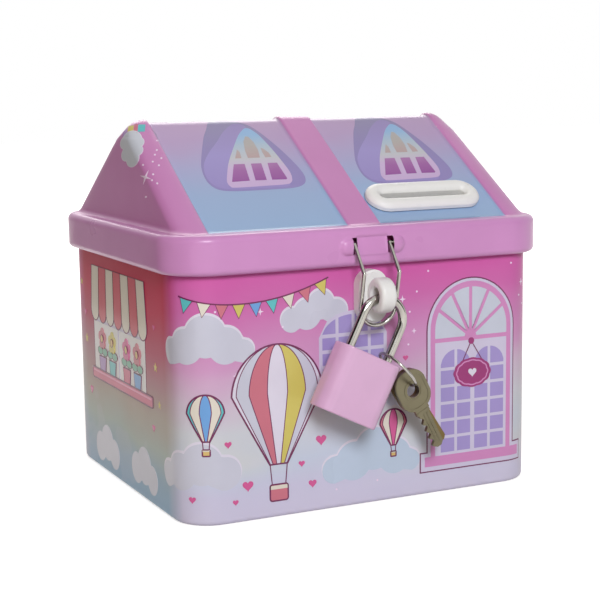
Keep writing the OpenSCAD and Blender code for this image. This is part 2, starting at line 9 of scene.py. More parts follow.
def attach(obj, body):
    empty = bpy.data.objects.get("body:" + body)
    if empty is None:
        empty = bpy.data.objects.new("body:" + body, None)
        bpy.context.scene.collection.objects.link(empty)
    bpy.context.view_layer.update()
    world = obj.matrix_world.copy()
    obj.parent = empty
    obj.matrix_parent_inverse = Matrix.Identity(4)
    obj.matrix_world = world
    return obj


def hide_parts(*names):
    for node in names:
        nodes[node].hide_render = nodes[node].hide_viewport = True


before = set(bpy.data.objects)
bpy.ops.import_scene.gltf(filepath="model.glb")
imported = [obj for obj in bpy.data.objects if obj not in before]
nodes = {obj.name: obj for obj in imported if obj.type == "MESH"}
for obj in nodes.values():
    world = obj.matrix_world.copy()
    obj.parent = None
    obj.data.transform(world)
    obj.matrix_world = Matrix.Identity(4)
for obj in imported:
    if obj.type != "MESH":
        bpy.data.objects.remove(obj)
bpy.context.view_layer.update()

mm = 0.001
scene = bpy.context.scene
scene.view_settings.view_transform = "Standard"

# the tin box's main sizes and the padlock's place, in millimetres
body = {"w": 60, "d": 53, "corner": 11.5, "top": 82, "foot": 1.6, "rim": 0.9, "hem": 3.8, "tin": 0.5}
lid = {"w": 63.1, "d": 56.1, "corner": 14.6, "low": 73.4, "shoulder": 85, "curl": 1.7, "edge": 2.2,
       "lip": 60.6, "footX": 58.9, "footY": 51.2, "footZ": 84.4, "lean": 1.3, "top": 116.4, "ridge": 7,
       "plan": 7, "recess": 1, "rib": 5.5, "endRib": 50, "blend": 0.5, "filletY": 3, "filletX": 1.6}
lock = {"x": -0.8, "y": -61.8}

# along the wall: half of the front's and the side's straight parts, a corner's bend, and the side's middle
wallX, wallY, quarter = body["w"] - body["corner"], body["d"] - body["corner"], body["corner"] * pi / 2
sideMiddle = wallX + quarter + wallY


def linear(colour):
    # 0-255 screen values to the linear values that the shaders take
    return tuple(((c / 255) / 12.92 if c <= 10 else ((c / 255 + 0.055) / 1.055) ** 2.4) for c in colour) + (1,)


def feed(tree, node, inputs):
    # gives each named or numbered input a value or another node's output
    for socket, value in inputs.items():
        if isinstance(value, bpy.types.NodeSocket):
            tree.links.new(value, node.inputs[socket])
        else:
            node.inputs[socket].default_value = value


def addNode(tree, kind, inputs, **settings):
    node = tree.nodes.new("ShaderNode" + kind)
    for key, value in settings.items():
        setattr(node, key, value)
    feed(tree, node, inputs)
    return node


def addMath(tree, operation, first, second=0):
    return addNode(tree, "Math", {0: first, 1: second}, operation=operation).outputs[0]


def addRange(tree, value, low, high, newLow, newHigh):
    inputs = {"Value": value, "From Min": low, "From Max": high, "To Min": newLow, "To Max": newHigh}
    return addNode(tree, "MapRange", inputs).outputs[0]


def placeOf(tree):
    return addNode(tree, "TexCoord", {}).outputs["Object"]


def newPaint(name, inputs):
    paint = bpy.data.materials.new(name)
    paint.use_nodes = True
    shader = paint.node_tree.nodes["Principled BSDF"]
    feed(paint.node_tree, shader, inputs)
    return paint, paint.node_tree, shader


def linked(name, data):
    obj = bpy.data.objects.new(name, data)
    scene.collection.objects.link(obj)
    return obj


def setCamera():
    view = {"azimuth": 25.418, "elevation": 9.09, "roll": -0.883, "distance": 479.06, "aim": (0, 0, 50),
            "focalPixels": 1441.5, "shiftPixels": (5.742, 17.627), "imagePixels": 600}
    az, el, roll = (radians(view[k]) for k in ("azimuth", "elevation", "roll"))
    back = Vector((-sin(az) * cos(el), -cos(az) * cos(el), sin(el)))
    right = (-back).cross(Vector((0, 0, 1))).normalized()
    up = right.cross(-back)
    tilted = right * cos(roll) + up * sin(roll)
    upright = -right * sin(roll) + up * cos(roll)
    data = bpy.data.cameras.new("camera")
    data.sensor_width = 36
    data.lens = data.sensor_width * view["focalPixels"] / view["imagePixels"]
    data.shift_x, data.shift_y = (s / view["imagePixels"] for s in view["shiftPixels"])
    camera = linked("camera", data)
    turn = Matrix((tilted, upright, back)).transposed().to_4x4()
    camera.matrix_world = Matrix.Translation((Vector(view["aim"]) + back * view["distance"]) * mm) @ turn
    scene.camera = camera


def putFacing(name, data, place, aim, axis):
    # an object at a place, with this axis turned to the aim
    obj = linked(name, data)
    obj.location = place
    obj.rotation_euler = (Vector(aim) - Vector(place)).to_track_quat(axis, "Y").to_euler()
    return obj


def addLamp(name, place, size, power, colour):
    middleOfBox = (0, 0, 0.05)
    data = bpy.data.lights.new(name, "AREA")
    data.size, data.energy, data.color = size, power, colour
    putFacing(name, data, place, middleOfBox, "-Z")


def sheetMesh(name, w, h, paint):
    mesh = bpy.data.meshes.new(name)
    mesh.from_pydata([(-w, -h, 0), (w, -h, 0), (w, h, 0), (-w, h, 0)], [], [(0, 1, 2, 3)])
    mesh.materials.append(paint)
    return mesh


def addCard(name, place, size, grey, aim):
    # an upright card, seen only in glossy surfaces
    paint, _, _ = newPaint(name, {"Base Color": (grey, grey, grey, 1), "Roughness": 0.9, "Specular IOR Level": 0})
    card = putFacing(name, sheetMesh(name, size[0] / 2, size[1] / 2, paint), place, aim, "Z")
    for way in ("camera", "diffuse", "transmission", "volume_scatter", "shadow"):
        setattr(card, "visible_" + way, False)


def seenDirectly(tree):
    # 1 for what the camera sees straight, in a mirror surface or through glass
    path = addNode(tree, "LightPath", {}).outputs
    mirrored = addMath(tree, "MAXIMUM", path["Is Camera Ray"], path["Is Glossy Ray"])
    return addMath(tree, "MAXIMUM", mirrored, path["Is Transmission Ray"])


def setWorld():
    # a warm, weak sky that the camera sees as plain white
    sky = {"Color": (1, 0.86, 0.72, 1), "Strength": 0.16}
    white = {"Color": (1, 1, 1, 1)}
    world = bpy.data.worlds.new("studio")
    scene.world = world
    world.use_nodes = True
    tree = world.node_tree
    tree.nodes.clear()
    lit, seen = (addNode(tree, "Background", shade).outputs[0] for shade in (sky, white))
    mixed = addNode(tree, "MixShader", {0: seenDirectly(tree), 1: lit, 2: seen}).outputs[0]
    addNode(tree, "OutputWorld", {0: mixed})


def setFloor():
    # the glow seen by the camera grows to plain white away from the box, whose soft shadow stays
    ground = {"half": 3, "glow": (0.12, 0.45, 0.66, 1)}
    paint, tree, shader = newPaint("paleFloor", {
        "Base Color": (0.7, 0.68, 0.66, 1), "Roughness": 0.9, "Specular IOR Level": 0.1,
        "Emission Color": (1, 1, 1, 1)})
    far = addNode(tree, "VectorMath", {0: placeOf(tree)}, operation="LENGTH").outputs["Value"]
    glow = addRange(tree, far, *ground["glow"])
    feed(tree, shader, {"Emission Strength": addMath(tree, "MULTIPLY", seenDirectly(tree), glow)})
    floor = linked("floor", sheetMesh("floor", ground["half"], ground["half"], paint))


setCamera()
setWorld()
addLamp("key", (-0.34, -1.24, 0.78), 0.45, 15.4, (0.91, 0.94, 1))
addLamp("fill", (-1.05, -0.6, 0.5), 0.5, 0.9, (1, 0.76, 0.3))
addLamp("rear", (0.3, 0.95, 0.8), 0.8, 7, (1, 0.98, 0.95))
addCard("leftCard", (-0.17, 0.16, 0.16), (0.6, 0.32), 0.02, (0, 0.16, 0.16))
addCard("sideCard", (-0.75, -0.3, 0.35), (0.7, 0.8), 0.02, (0, 0, 0.35))
addCard("rightCard", (0.85, -0.75, 0.35), (0.5, 0.8), 0.05, (0, 0, 0.35))
setFloor()
print("camera, lamps and floor are set")


def newFinish(name, colour, roughness, metallic=0, coat=0, specular=0.3):
    return newPaint(name, {"Base Color": linear(colour), "Roughness": roughness, "Metallic": metallic,
                           "Coat Weight": coat, "Coat Roughness": 0.08, "Specular IOR Level": specular})


def addNoise(tree, scale, detail=3, stretch=(1, 1, 1)):
    mapping = addNode(tree, "Mapping", {"Scale": stretch, "Vector": placeOf(tree)}).outputs[0]
    return addNode(tree, "TexNoise", {"Scale": scale, "Detail": detail, "Vector": mapping}).outputs["Fac"]


def addBlend(tree, factor, first, second):
    return addNode(tree, "Mix", {0: factor, 6: first, 7: second}, data_type="RGBA").outputs[2]


def addRamp(tree, value, stops):
    node = addNode(tree, "ValToRGB", {0: value})
    ramp = node.color_ramp
    while len(ramp.elements) < len(stops):
        ramp.elements.new(0.5)
    for element, (place, colour) in zip(ramp.elements, stops):
        element.position = place
        element.color = linear(colour)
    return node.outputs[0]


def addBump(tree, value, strength, depth):
    return addNode(tree, "Bump", {"Strength": strength, "Distance": depth, "Height": value}).outputs[0]


def addHeight(tree, wobble, wobbleScale):
    # height above the ground in millimetres, stirred by a slow noise, and the place's three parts
    split = addNode(tree, "SeparateXYZ", {0: placeOf(tree)}).outputs
    high = addRange(tree, split["Z"], 0, 1, 0, 1000)
    stir = addRange(tree, addNoise(tree, wobbleScale, 2, (1, 1, 1.6)), 0.25, 0.75, -wobble, wobble)
    return addMath(tree, "ADD", high, stir), split


def varied(tree, low, high):
    # a roughness that changes slowly from place to place
    return addRange(tree, addNoise(tree, 35), 0.2, 0.8, low, high)


def scaled(colour, gain):
    return tuple(min(1, c * gain) for c in linear(colour)[:3]) + (1,)


def wallFinish():
    # deep pink at the top over a pale lower part with drifting soft clouds; the side walls are redder and darker,
    # partly a redder print and partly painted shade
    wall = {"top": 80, "sideEdges": (0.0465, 0.0375),
            "front": [(0, (207, 201, 222)), (0.1, (204, 200, 222)), (0.22, (198, 206, 222)),
                      (0.36, (206, 208, 214)), (0.46, (209, 192, 208)), (0.58, (208, 156, 195)),
                      (0.7, (206, 133, 184)), (0.8, (205, 110, 172)), (0.92, (207, 94, 166))],
            # the side ramp is darker than the front's all the way down: partly a redder print, partly painted shade
            # of the side walls
            "side": [(0, (152, 186, 216)), (0.12, (160, 186, 206)), (0.24, (180, 192, 186)),
                     (0.36, (188, 178, 168)), (0.48, (190, 144, 154)), (0.62, (194, 92, 118)),
                     (0.78, (202, 60, 92)), (0.92, (198, 40, 78))],
            "clouds": ((21, 1.8, 0.5, 0.68, (222, 215, 196), ((0.08, 0), (0.2, 200), (0.4, 200), (0.5, 0))),
                       (46, 1.5, 0.56, 0.6, (214, 208, 224), ((0, 120), (0.3, 120), (0.45, 0))))}
    finish, tree, shader = newFinish("skyPrint", (200, 150, 190), 0.34, specular=0.12)
    high, place = addHeight(tree, 3.5, 28)
    level = addRange(tree, high, 0, wall["top"], 0, 1)
    front, side = addRamp(tree, level, wall["front"]), addRamp(tree, level, wall["side"])
    # the side walls take the darker side ramp, which carries painted shade
    fromFront = addRange(tree, addMath(tree, "ABSOLUTE", place["Y"]), *wall["sideEdges"], 0, 1)
    sky = addBlend(tree, fromFront, front, side)
    for scale, stretch, low, high, colour, band in wall["clouds"]:
        patch = addRange(tree, addNoise(tree, scale, 2, (1, 1, stretch)), low, high, 0, 0.7)
        where = addRamp(tree, level, [(at, (grey, grey, grey)) for at, grey in band])
        sky = addBlend(tree, addMath(tree, "MULTIPLY", patch, where), sky, linear(colour))
    feed(tree, shader, {"Base Color": sky, "Roughness": varied(tree, 0.28, 0.38)})
    return finish


def fade(name, stops, low, high):
    # an ink that changes with the height above the ground
    finish, tree, shader = newFinish(name, stops[0][1], 0.32, coat=0.1)
    level, _ = addHeight(tree, 0.5, 90)
    shade = addRamp(tree, addRange(tree, level, low, high, 0, 1), stops)
    feed(tree, shader, {"Base Color": shade, "Roughness": varied(tree, 0.28, 0.37)})
    return finish


def mottled(name, colour, roughness, amount=0.03, scale=60, coat=0.2):
    # an even paint with a faint cloudiness in its colour and gloss
    finish, tree, shader = newFinish(name, colour, roughness, coat=coat)
    shade = addRange(tree, addNoise(tree, scale), 0.3, 0.7, 0, 1)
    feed(tree, shader, {"Base Color": addBlend(tree, shade, scaled(colour, 1 - amount), scaled(colour, 1 + amount)),
                        "Roughness": varied(tree, roughness - 0.05, roughness + 0.05)})
    return finish


def roofFinish():
    # pink ribs; the panels between them go from lilac at the ridge to light blue at the eaves
    panelStops = [(0, (150, 178, 212)), (0.3, (152, 174, 209)), (0.55, (166, 165, 203)), (0.8, (180, 154, 193)),
                  (1, (184, 155, 190))]
    ribPinks = (196, 127, 181), (201, 133, 187)
    edge, skirtY = 0.00015, 0.0498
    finish, tree, shader = newFinish("roofPrint", (165, 165, 200), 0.33, coat=0.1)
    high, place = addHeight(tree, 1.6, 40)
    panel = addRamp(tree, addRange(tree, high, lid["shoulder"], 116, 0, 1), panelStops)
    rib = addBlend(tree, addRange(tree, addNoise(tree, 40), 0.3, 0.7, 0, 1), *(linear(c) for c in ribPinks))
    farX, farY = (addMath(tree, "ABSOLUTE", place[axis]) for axis in "XY")
    inner, outer = lid["rib"] * mm, lid["endRib"] * mm
    onPanel = addMath(tree, "MULTIPLY", addRange(tree, farX, inner - edge, inner + edge, 0, 1),
                      addRange(tree, farX, outer - edge, outer + edge, 1, 0))
    onPanel = addMath(tree, "MULTIPLY", onPanel, addMath(tree, "LESS_THAN", farY, skirtY))
    feed(tree, shader, {"Base Color": addBlend(tree, onPanel, rib, panel),
                        "Roughness": varied(tree, 0.28, 0.38)})
    return finish


def metalFinish(name, colour, roughness, streak=(1, 1, 1), scale=400, wear=0.12):
    finish, tree, shader = newFinish(name, colour, roughness, metallic=1, specular=0.5)
    lines = addRange(tree, addNoise(tree, scale, 4, streak), 0.3, 0.7, 0, 1)
    feed(tree, shader, {"Base Color": addBlend(tree, lines, scaled(colour, 1 - wear), linear(colour)),
                        "Roughness": addRange(tree, lines, 0, 1, roughness * 0.75, roughness * 1.35),
                        "Normal": addBump(tree, lines, 0.12, 0.00003)})
    return finish


def plasticFinish():
    finish, tree, shader = newFinish("whitePlastic", (234, 233, 230), 0.32)
    grain = addNoise(tree, 300, 2)
    feed(tree, shader, {"Subsurface Weight": 0.15, "Subsurface Radius": (0.002, 0.002, 0.0018),
                        "Subsurface Scale": 0.5, "Roughness": addRange(tree, grain, 0.3, 0.7, 0.26, 0.38),
                        "Normal": addBump(tree, grain, 0.06, 0.00004)})
    return finish


finishes = {
    "sky": wallFinish(),
    "lidPink": mottled("lidPink", (205, 142, 195), 0.3, coat=0.15),
    "roof": roofFinish(),
    "bareTin": metalFinish("bareTin", (200, 198, 190), 0.34, scale=90, wear=0.06),
    "hinge": metalFinish("hingeSteel", (190, 190, 192), 0.3, streak=(8, 1, 1)),
    "nickel": metalFinish("nickelWire", (176, 173, 166), 0.13, scale=260),
    "plastic": plasticFinish(),
    "enamel": mottled("lockEnamel", (219, 174, 209), 0.2, amount=0.02, scale=140, coat=0.5),
    "brass": metalFinish("lockBrass", (196, 168, 96), 0.28),
    "spring": metalFinish("springSteel", (170, 170, 172), 0.3),
    "ink_keyFront": metalFinish("keyNickel", (124, 118, 96), 0.32, scale=160, wear=0.25),
    # the back key's brown base colour is a painted reflection seen on its bow
    "ink_keyBack": metalFinish("keyBackPaintedReflection", (122, 104, 68), 0.34, scale=160, wear=0.25),
}

# what each of the dormers' inks becomes between two heights in millimetres
dormerInks = {
    "dormerWindow": (96, 113.5, [(0, (200, 172, 212)), (0.3, (203, 178, 214)), (0.46, (194, 194, 200)),
                                 (0.68, (172, 190, 206)), (0.85, (146, 182, 218)), (1, (140, 178, 220))]),
    "dormerPane": (97.5, 104, [(0, (142, 66, 148)), (0.5, (156, 88, 158)), (1, (172, 122, 172))]),
    "dormerLight": (104.5, 111.5, [(0, (182, 158, 158)), (0.5, (176, 170, 166)), (1, (172, 168, 168))]),
    "dormerSide": (96, 114, [(0, (150, 136, 194)), (0.5, (156, 143, 200)), (1, (150, 134, 184))]),
    "dormerEdge": (96, 115, [(0, (143, 130, 186)), (0.6, (140, 128, 178)), (1, (142, 134, 168))]),
}
for name, (low, high, stops) in dormerInks.items():
    finishes["ink_" + name] = fade(name, stops, low, high)

inkColours = {
    "shopPale": (226, 224, 226), "sillLight": (232, 150, 184), "plum": (112, 40, 84), "frame": (205, 134, 186),
    "frameLine": (204, 196, 218), "fan": (196, 200, 214), "pane": (160, 144, 200), "cloud": (200, 200, 214),
    "cloudBlue": (186, 200, 218), "cream": (222, 214, 200), "coral": (200, 112, 128), "yellow": (206, 192, 98),
    "teal": (94, 188, 192), "blue": (108, 160, 216), "white": (220, 214, 228), "sill": (206, 84, 122),
    "rose": (208, 88, 146), "leaf": (112, 176, 150), "pot": (176, 140, 200), "spark": (236, 216, 236),
    "gold": (214, 182, 112), "ridgeCloud": (200, 204, 214), "seam": (150, 96, 140), "plaque": (152, 46, 112),
    "awning": (206, 74, 92), "awningPale": (222, 214, 200),
}


def ink(name):
    key = "ink_" + name
    if key not in finishes:
        finishes[key] = mottled(key, inkColours[name], 0.3, scale=80)
    return finishes[key]


def meshOf(grid, name, paints):
    mesh = bpy.data.meshes.new(name)
    grid.to_mesh(mesh)
    grid.free()
    for paint in paints:
        mesh.materials.append(paint)
    return mesh


def makeObject(name, mesh, rider, replaced=()):
    obj = linked(name, mesh)
    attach(obj, rider)
    if replaced:
        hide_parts(*replaced)
    return obj


def onCircle(cx, cy, r, a):
    return cx + r * cos(a), cy + r * sin(a)


def arcPoints(cx, cy, r, start, stop, count):
    return [onCircle(cx, cy, r, radians(start + (stop - start) * i / count)) for i in range(count + 1)]


cornerSteps = 12
sideStops = [-1 + i / 6 for i in range(13)]
wallStops = [f * 48.4 for f in (0, 0.12, 0.25, 0.4, 0.55, 0.7, 0.85, 0.95)]
roofStops = [0, 1.5, 3, 4.4, 4.95, 5.22, 5.5, 5.78, 6.05, 6.6, 9, 13, 18, 24, 30, 36, 42, 46, 48.4,
             49.2, 49.5, 49.75, 50, 50.25, 50.5]
pressStops = [lock["x"] - 13 + 0.5 * i for i in range(53)]


def bothSides(stops, extra=()):
    # a sorted list of the stops on both sides of the middle, without near doubles
    places = sorted([-x for x in stops] + list(stops) + list(extra))
    kept = [places[0]]
    for x in places[1:]:
        if x - kept[-1] > 0.12:
            kept.append(x)
    return kept


bodyColumns = bothSides(wallStops)
lidColumns = bothSides(roofStops, pressStops)


def fitted(x, straight):
    # squeezes the outermost columns of a ring whose corners start earlier
    knee, far = 40, 50.55
    if abs(x) <= knee or straight >= far:
        return x
    return copysign(knee + (abs(x) - knee) * (straight - knee) / (far - knee), x)


def ringPoints(w, d, r, z, columns):
    # a rounded rectangle's points, the same number in the same places for every ring
    r = max(0, min(r, d, w))
    straightX, straightY = w - r, d - r
    across = [(fitted(x, straightX), -d, z) for x in columns]

    def corner(sideX, sideY, start):
        points = arcPoints(sideX * straightX, sideY * straightY, r, start, start + 90, cornerSteps)
        return [(x, y, z) for x, y in points[1:]]

    ring = [(-straightX, -d, z)] + across + [(straightX, -d, z)] + corner(1, -1, -90)
    ring += [(w, f * straightY, z) for f in sideStops[1:]] + corner(1, 1, 0)
    ring += [(x, d, z) for x, _, _ in reversed(across)] + [(-straightX, d, z)] + corner(-1, 1, 90)
    return ring + [(-w, -f * straightY, z) for f in sideStops[1:]] + corner(-1, -1, 180)[:-1]


def ringMesh(name, rings, paintOf, finishNames, closed=False):
    # a skin over the rings, which follow each other; paintOf gives each row's finish
    grid = bmesh.new()
    rows = [[grid.verts.new([c * mm for c in p]) for p in ring] for ring in rings]
    pairs = list(zip(rows, rows[1:])) + ([(rows[-1], rows[0])] if closed else [])
    for k, (upper, lower) in enumerate(pairs):
        for i in range(len(upper)):
            j = (i + 1) % len(upper)
            face = grid.faces.new((upper[i], lower[i], lower[j], upper[j]))
            face.smooth = True
            face.material_index = paintOf(k)
    bmesh.ops.remove_doubles(grid, verts=grid.verts, dist=0.00001)
    bmesh.ops.dissolve_degenerate(grid, edges=grid.edges, dist=0.000001)
    bmesh.ops.recalc_face_normals(grid, faces=grid.faces)
    return meshOf(grid, name, [finishes[finish] for finish in finishNames])


def makeBody():
    # (how far out, height) round the wall's section: outer face, rolled rim, inner face, folded foot
    foot, rim, hem, tin = (body[part] for part in ("foot", "rim", "hem", "tin"))
    top = body["top"] - rim
    section = [(-hem, 0), (-foot, 0)] + arcPoints(-foot, foot, foot, -75, 0, 5)
    section += [(0, z) for z in [*range(6, 73, 6), 76]]
    printedRows = len(section) + 5  # the print runs a little way over the rim
    section += arcPoints(-rim, top, rim, 0, 250, 14) + [(-tin, top - 1.2), (-tin, 60), (-tin, 30), (-tin, foot)]
    section += arcPoints(-foot, foot, foot - tin, 0, -75, 4) + [(-foot, tin), (-hem, tin)]
    rings = [ringPoints(body["w"] + out, body["d"] + out, body["corner"] + out, z, bodyColumns) for out, z in section]
    mesh = ringMesh("tinBody", rings, lambda k: int(k >= printedRows), ("sky", "bareTin"), closed=True)
    return makeObject("tinBody", mesh, "box", ("body_shell",))


def smoothStep(x, low, high):
    t = min(1, max(0, (x - low) / (high - low)))
    return t * t * (3 - 2 * t)


def panelMask(x):
    # 1 on the recessed panels, 0 on the three ribs
    inner, outer = (smoothStep(abs(x), lid[rib] - lid["blend"], lid[rib] + lid["blend"]) for rib in ("rib", "endRib"))
    return inner * (1 - outer)


ridgeAxis = lid["top"] - lid["ridge"]
slopeAngle = atan2(ridgeAxis - lid["footZ"], lid["footY"])
slopeAngle += asin(lid["ridge"] / hypot(ridgeAxis - lid["footZ"], lid["footY"]))


def roofLevels(inset):
    # (half depth, height) up the slope and round the ridge; inset is how far the sheet lies inside
    a, r, base, top = slopeAngle, lid["filletY"], lid["shoulder"], lid["ridge"] - inset
    outY, outZ = sin(a), cos(a)
    foot = lid["footY"] - (base - lid["footZ"]) / tan(a) + r * tan(a / 2)
    levels = [(foot - r * sin(t) - inset / outY, base + r * (1 - cos(t))) for t in (a * i / 5 for i in range(6))]
    startY, startZ = foot - r * outY, base + r * (1 - outZ)
    endY, endZ = lid["ridge"] * outY, ridgeAxis + lid["ridge"] * outZ
    for t in (0.01, 0.02, 0.035, 0.05, 0.08, 0.13, 0.2, 0.28, 0.36, 0.45, 0.55, 0.65, 0.75, 0.84, 0.92, 0.97):
        levels.append((startY + (endY - startY) * t + inset * (-(1 - t) / outY - t * outY),
                       startZ + (endZ - startZ) * t + inset * (-t * outZ)))
    return levels + [(top * sin(t), ridgeAxis + top * cos(t)) for t in (a * (1 - i / 12) for i in range(13))]


def roofRing(outer, recessed, thin):
    # one ring of the roof, which dips to the recessed level on the panels
    y, z = outer
    bend = lid["plan"]
    up = z - lid["shoulder"]
    half = lid["footX"] - thin - lid["lean"] * up / (lid["top"] - lid["shoulder"])
    if up < lid["filletX"]:
        half += lid["filletX"] - sqrt(max(0, lid["filletX"] ** 2 - (lid["filletX"] - up) ** 2))
    over = z - (lid["top"] - thin - bend)
    if over > 0:
        half -= bend - sqrt(max(0, bend ** 2 - min(over, bend) ** 2))
    ring = []
    for px, py, pz in ringPoints(half, y, bend, z, lidColumns):
        deep = panelMask(px) if abs(abs(py) - y) < 0.001 else 0
        side = 1 if py >= 0 else -1
        ring.append((px, py + side * (recessed[0] - y) * deep, pz + (recessed[1] - z) * deep))
    return ring


def frontRelief(x, z):
    # how far the skirt's front stands out where the hasp's pivots are pressed
    relief = {"z": 79.2, "half": 10.6, "r": 2.5, "out": 1.15, "tongue": 4.7, "press": 0.5, "lift": 0.25, "slit": 5.85}
    r, dx, dz = relief["r"], abs(x - lock["x"]), z - relief["z"]
    away = hypot(max(0, dx - (relief["half"] - r)), dz)
    out = relief["out"] * sqrt(max(0, 1 - (away / r) ** 2))
    if dx < relief["slit"] and abs(dz) < r + 0.3:
        high = smoothStep(z, relief["z"] - r, relief["z"] + r)
        edge = 1 - smoothStep(dx, relief["tongue"], relief["slit"])
        return -relief["press"] * high * edge + relief["lift"] * (1 - high) * edge + out * (1 - edge)
    return out


def lidRings(thin):
    outer, recessed = roofLevels(thin), roofLevels(thin + lid["recess"])
    rings = [roofRing(o, r, thin) for o, r in zip(outer, recessed)][::-1]
    w, d, r = lid["w"], lid["d"], lid["corner"]
    edge, curl = lid["edge"], lid["curl"]
    section = [(x - edge, z + lid["shoulder"] - edge) for x, z in arcPoints(0, 0, edge - thin, 90, 0, 7)]
    section += [(-thin, 82.3 - 0.33 * i) for i in range(20)]
    section += [(x - curl, z + lid["low"] + curl) for x, z in arcPoints(0, 0, curl - thin, 0, -90, 6)]
    section += [(lid["lip"] - w, lid["low"] + thin)]
    for out, z in section:
        ring = ringPoints(w + out, d + out, r + out, z, lidColumns)
        rings.append([(x, y - frontRelief(x, z) * (y < 0) * (abs(y + d + out) < 0.01), zz) for x, y, zz in ring])
    return rings


def makeLid():
    outer = lidRings(0)
    inner = lidRings(body["tin"])[::-1]
    roofRows = len(roofLevels(0)) - 1
    mesh = ringMesh("tinLid", outer + inner, lambda k: 2 if k >= len(outer) else int(k < roofRows),
                    ("lidPink", "roof", "bareTin"))
    return makeObject("tinLid", mesh, "lid", ("roof_lid",))


def cutAway(obj, cutter):
    # a boolean difference, applied; the cutter is then removed
    step = obj.modifiers.new("cut", "BOOLEAN")
    step.operation = "DIFFERENCE"
    step.solver = "EXACT"
    step.object = cutter
    bpy.context.view_layer.update()
    shown = obj.evaluated_get(bpy.context.evaluated_depsgraph_get())
    mesh = bpy.data.meshes.new_from_object(shown)
    old = obj.data
    obj.modifiers.clear()
    obj.data = mesh
    mesh.name = old.name
    bpy.data.objects.remove(cutter)


def cutterOf(grid, name):
    return linked(name, meshOf(grid, name, [finishes["bareTin"]]))


def makeSlotHole():
    # a long round-ended plug that stands square to the front panel
    hole = {"x": 25.85, "up": 12.6, "length": 27, "r": 2.95, "deep": 3}
    across = Vector((1, 0, 0))
    rise, out = Vector((0, cos(slopeAngle), sin(slopeAngle))), Vector((0, -sin(slopeAngle), cos(slopeAngle)))
    foot = Vector((0, -(lid["footY"] - lid["recess"]), lid["footZ"]))
    middle = foot + across * hole["x"] + rise * hole["up"]
    half = hole["length"] / 2
    ring = arcPoints(half, 0, hole["r"], -90, 90, 14) + arcPoints(-half, 0, hole["r"], 90, 270, 14)
    grid = bmesh.new()
    ends = [[grid.verts.new((middle + across * x + rise * y + out * height) * mm) for x, y in ring]
            for height in (-hole["deep"], hole["deep"])]
    count = len(ring)
    for i in range(count):
        j = (i + 1) % count
        grid.faces.new((ends[0][i], ends[0][j], ends[1][j], ends[1][i]))
    grid.faces.new(ends[0][::-1])
    grid.faces.new(ends[1])
    bmesh.ops.recalc_face_normals(grid, faces=grid.faces)
    return cutterOf(grid, "slotCutter")


def makeBoxCutter(name, low, high):
    grid = bmesh.new()
    bmesh.ops.create_cube(grid, size=1)
    for v in grid.verts:
        v.co = Vector([(a + b) / 2 + (b - a) * c for a, b, c in zip(low, high, v.co)]) * mm
    return cutterOf(grid, name)


makeBody()
tinLid = makeLid()
cutAway(tinLid, makeSlotHole())
slit = {"middle": 5.9, "half": 0.85, "low": 77, "high": 81.9, "front": -60, "back": -54.4}
for side in (-1, 1):
    x = lock["x"] + side * slit["middle"]
    low, high = (x - slit["half"], slit["front"], slit["low"]), (x + slit["half"], slit["back"], slit["high"])
    cutAway(tinLid, makeBoxCutter("slitCutter", low, high))
print("body and lid are made")


def wallPlace(u, v):
    # u runs round the body from the middle of the front, v is the height
    side = 1 if u >= 0 else -1
    far = abs(u) - wallX
    if far <= 0:
        return Vector((u, -body["d"], v)), Vector((0, -1, 0))
    if far <= quarter:
        a = far / body["corner"]
        out = Vector((side * sin(a), -cos(a), 0))
        return Vector((side * wallX, -wallY, v)) + out * body["corner"], out
    return Vector((side * body["w"], -wallY + far - quarter, v)), Vector((side, 0, 0))


def roofPlace(side):
    # s runs down the panel from where it leaves the ridge; side is -1 in front, 1 behind
    r = lid["ridge"] - lid["recess"]

    def place(x, s):
        a = slopeAngle + min(0, s) / r
        out = Vector((0, side * sin(a), cos(a)))
        down = Vector((0, side * cos(a), -sin(a)))
        return Vector((-side * x, 0, ridgeAxis)) + out * r + down * max(0, s), out
    return place


def printOn(name, place, rider, shapes, lift=0.03, grid=()):
    # shapes: (ink, layer, outline, any holes) in the flat of the sheet, in millimetres
    layerStep = 0.025
    inks = []
    whole = bmesh.new()
    for colour, layer, *loops in shapes:
        if colour not in inks:
            inks.append(colour)
        # the flat shape in triangles, cut along the grid
        loops = [[Vector((x, y, 0)) for x, y in loop] for loop in loops]
        flat = bmesh.new()
        corners = [flat.verts.new(p) for loop in loops for p in loop]
        for tri in tessellate_polygon(loops):
            flat.faces.new([corners[i] for i in tri])
        bmesh.ops.remove_doubles(flat, verts=flat.verts, dist=0.001)
        for axis, cut, high, pitch in grid:
            across = Vector((axis == 0, axis == 1, 0))
            while cut < high:
                everything = flat.verts[:] + flat.edges[:] + flat.faces[:]
                bmesh.ops.bisect_plane(flat, geom=everything, plane_co=across * cut, plane_no=across, dist=0.0001)
                cut += pitch
        # the same shape laid on its place, with low walls down to the tin
        height = lift + layerStep * layer
        made = {}
        for v in flat.verts:
            spot, out = place(v.co.x, v.co.y)
            made[v] = (whole.verts.new((spot + out * height) * mm), spot - out * 0.01, out)
        for face in flat.faces:
            ring = [made[v][0] for v in face.verts]
            across = (ring[1].co - ring[0].co).cross(ring[2].co - ring[0].co)
            if across.dot(made[face.verts[0]][2]) < 0:
                ring.reverse()
            new = whole.faces.new(ring)
            new.material_index = inks.index(colour)
            new.smooth = True
        for edge in flat.edges:
            if len(edge.link_faces) == 1:
                a, b = edge.verts
                low = [whole.verts.new(made[v][1] * mm) for v in (b, a)]
                wall = whole.faces.new((made[a][0], made[b][0], low[0], low[1]))
                wall.material_index = inks.index(colour)
                whole.edges.get((made[a][0], made[b][0])).smooth = False
        flat.free()
    makeObject(name, meshOf(whole, name, [ink(colour) for colour in inks]), rider)


def rectangle(x0, y0, x1, y1):
    return [(x0, y0), (x1, y0), (x1, y1), (x0, y1)]


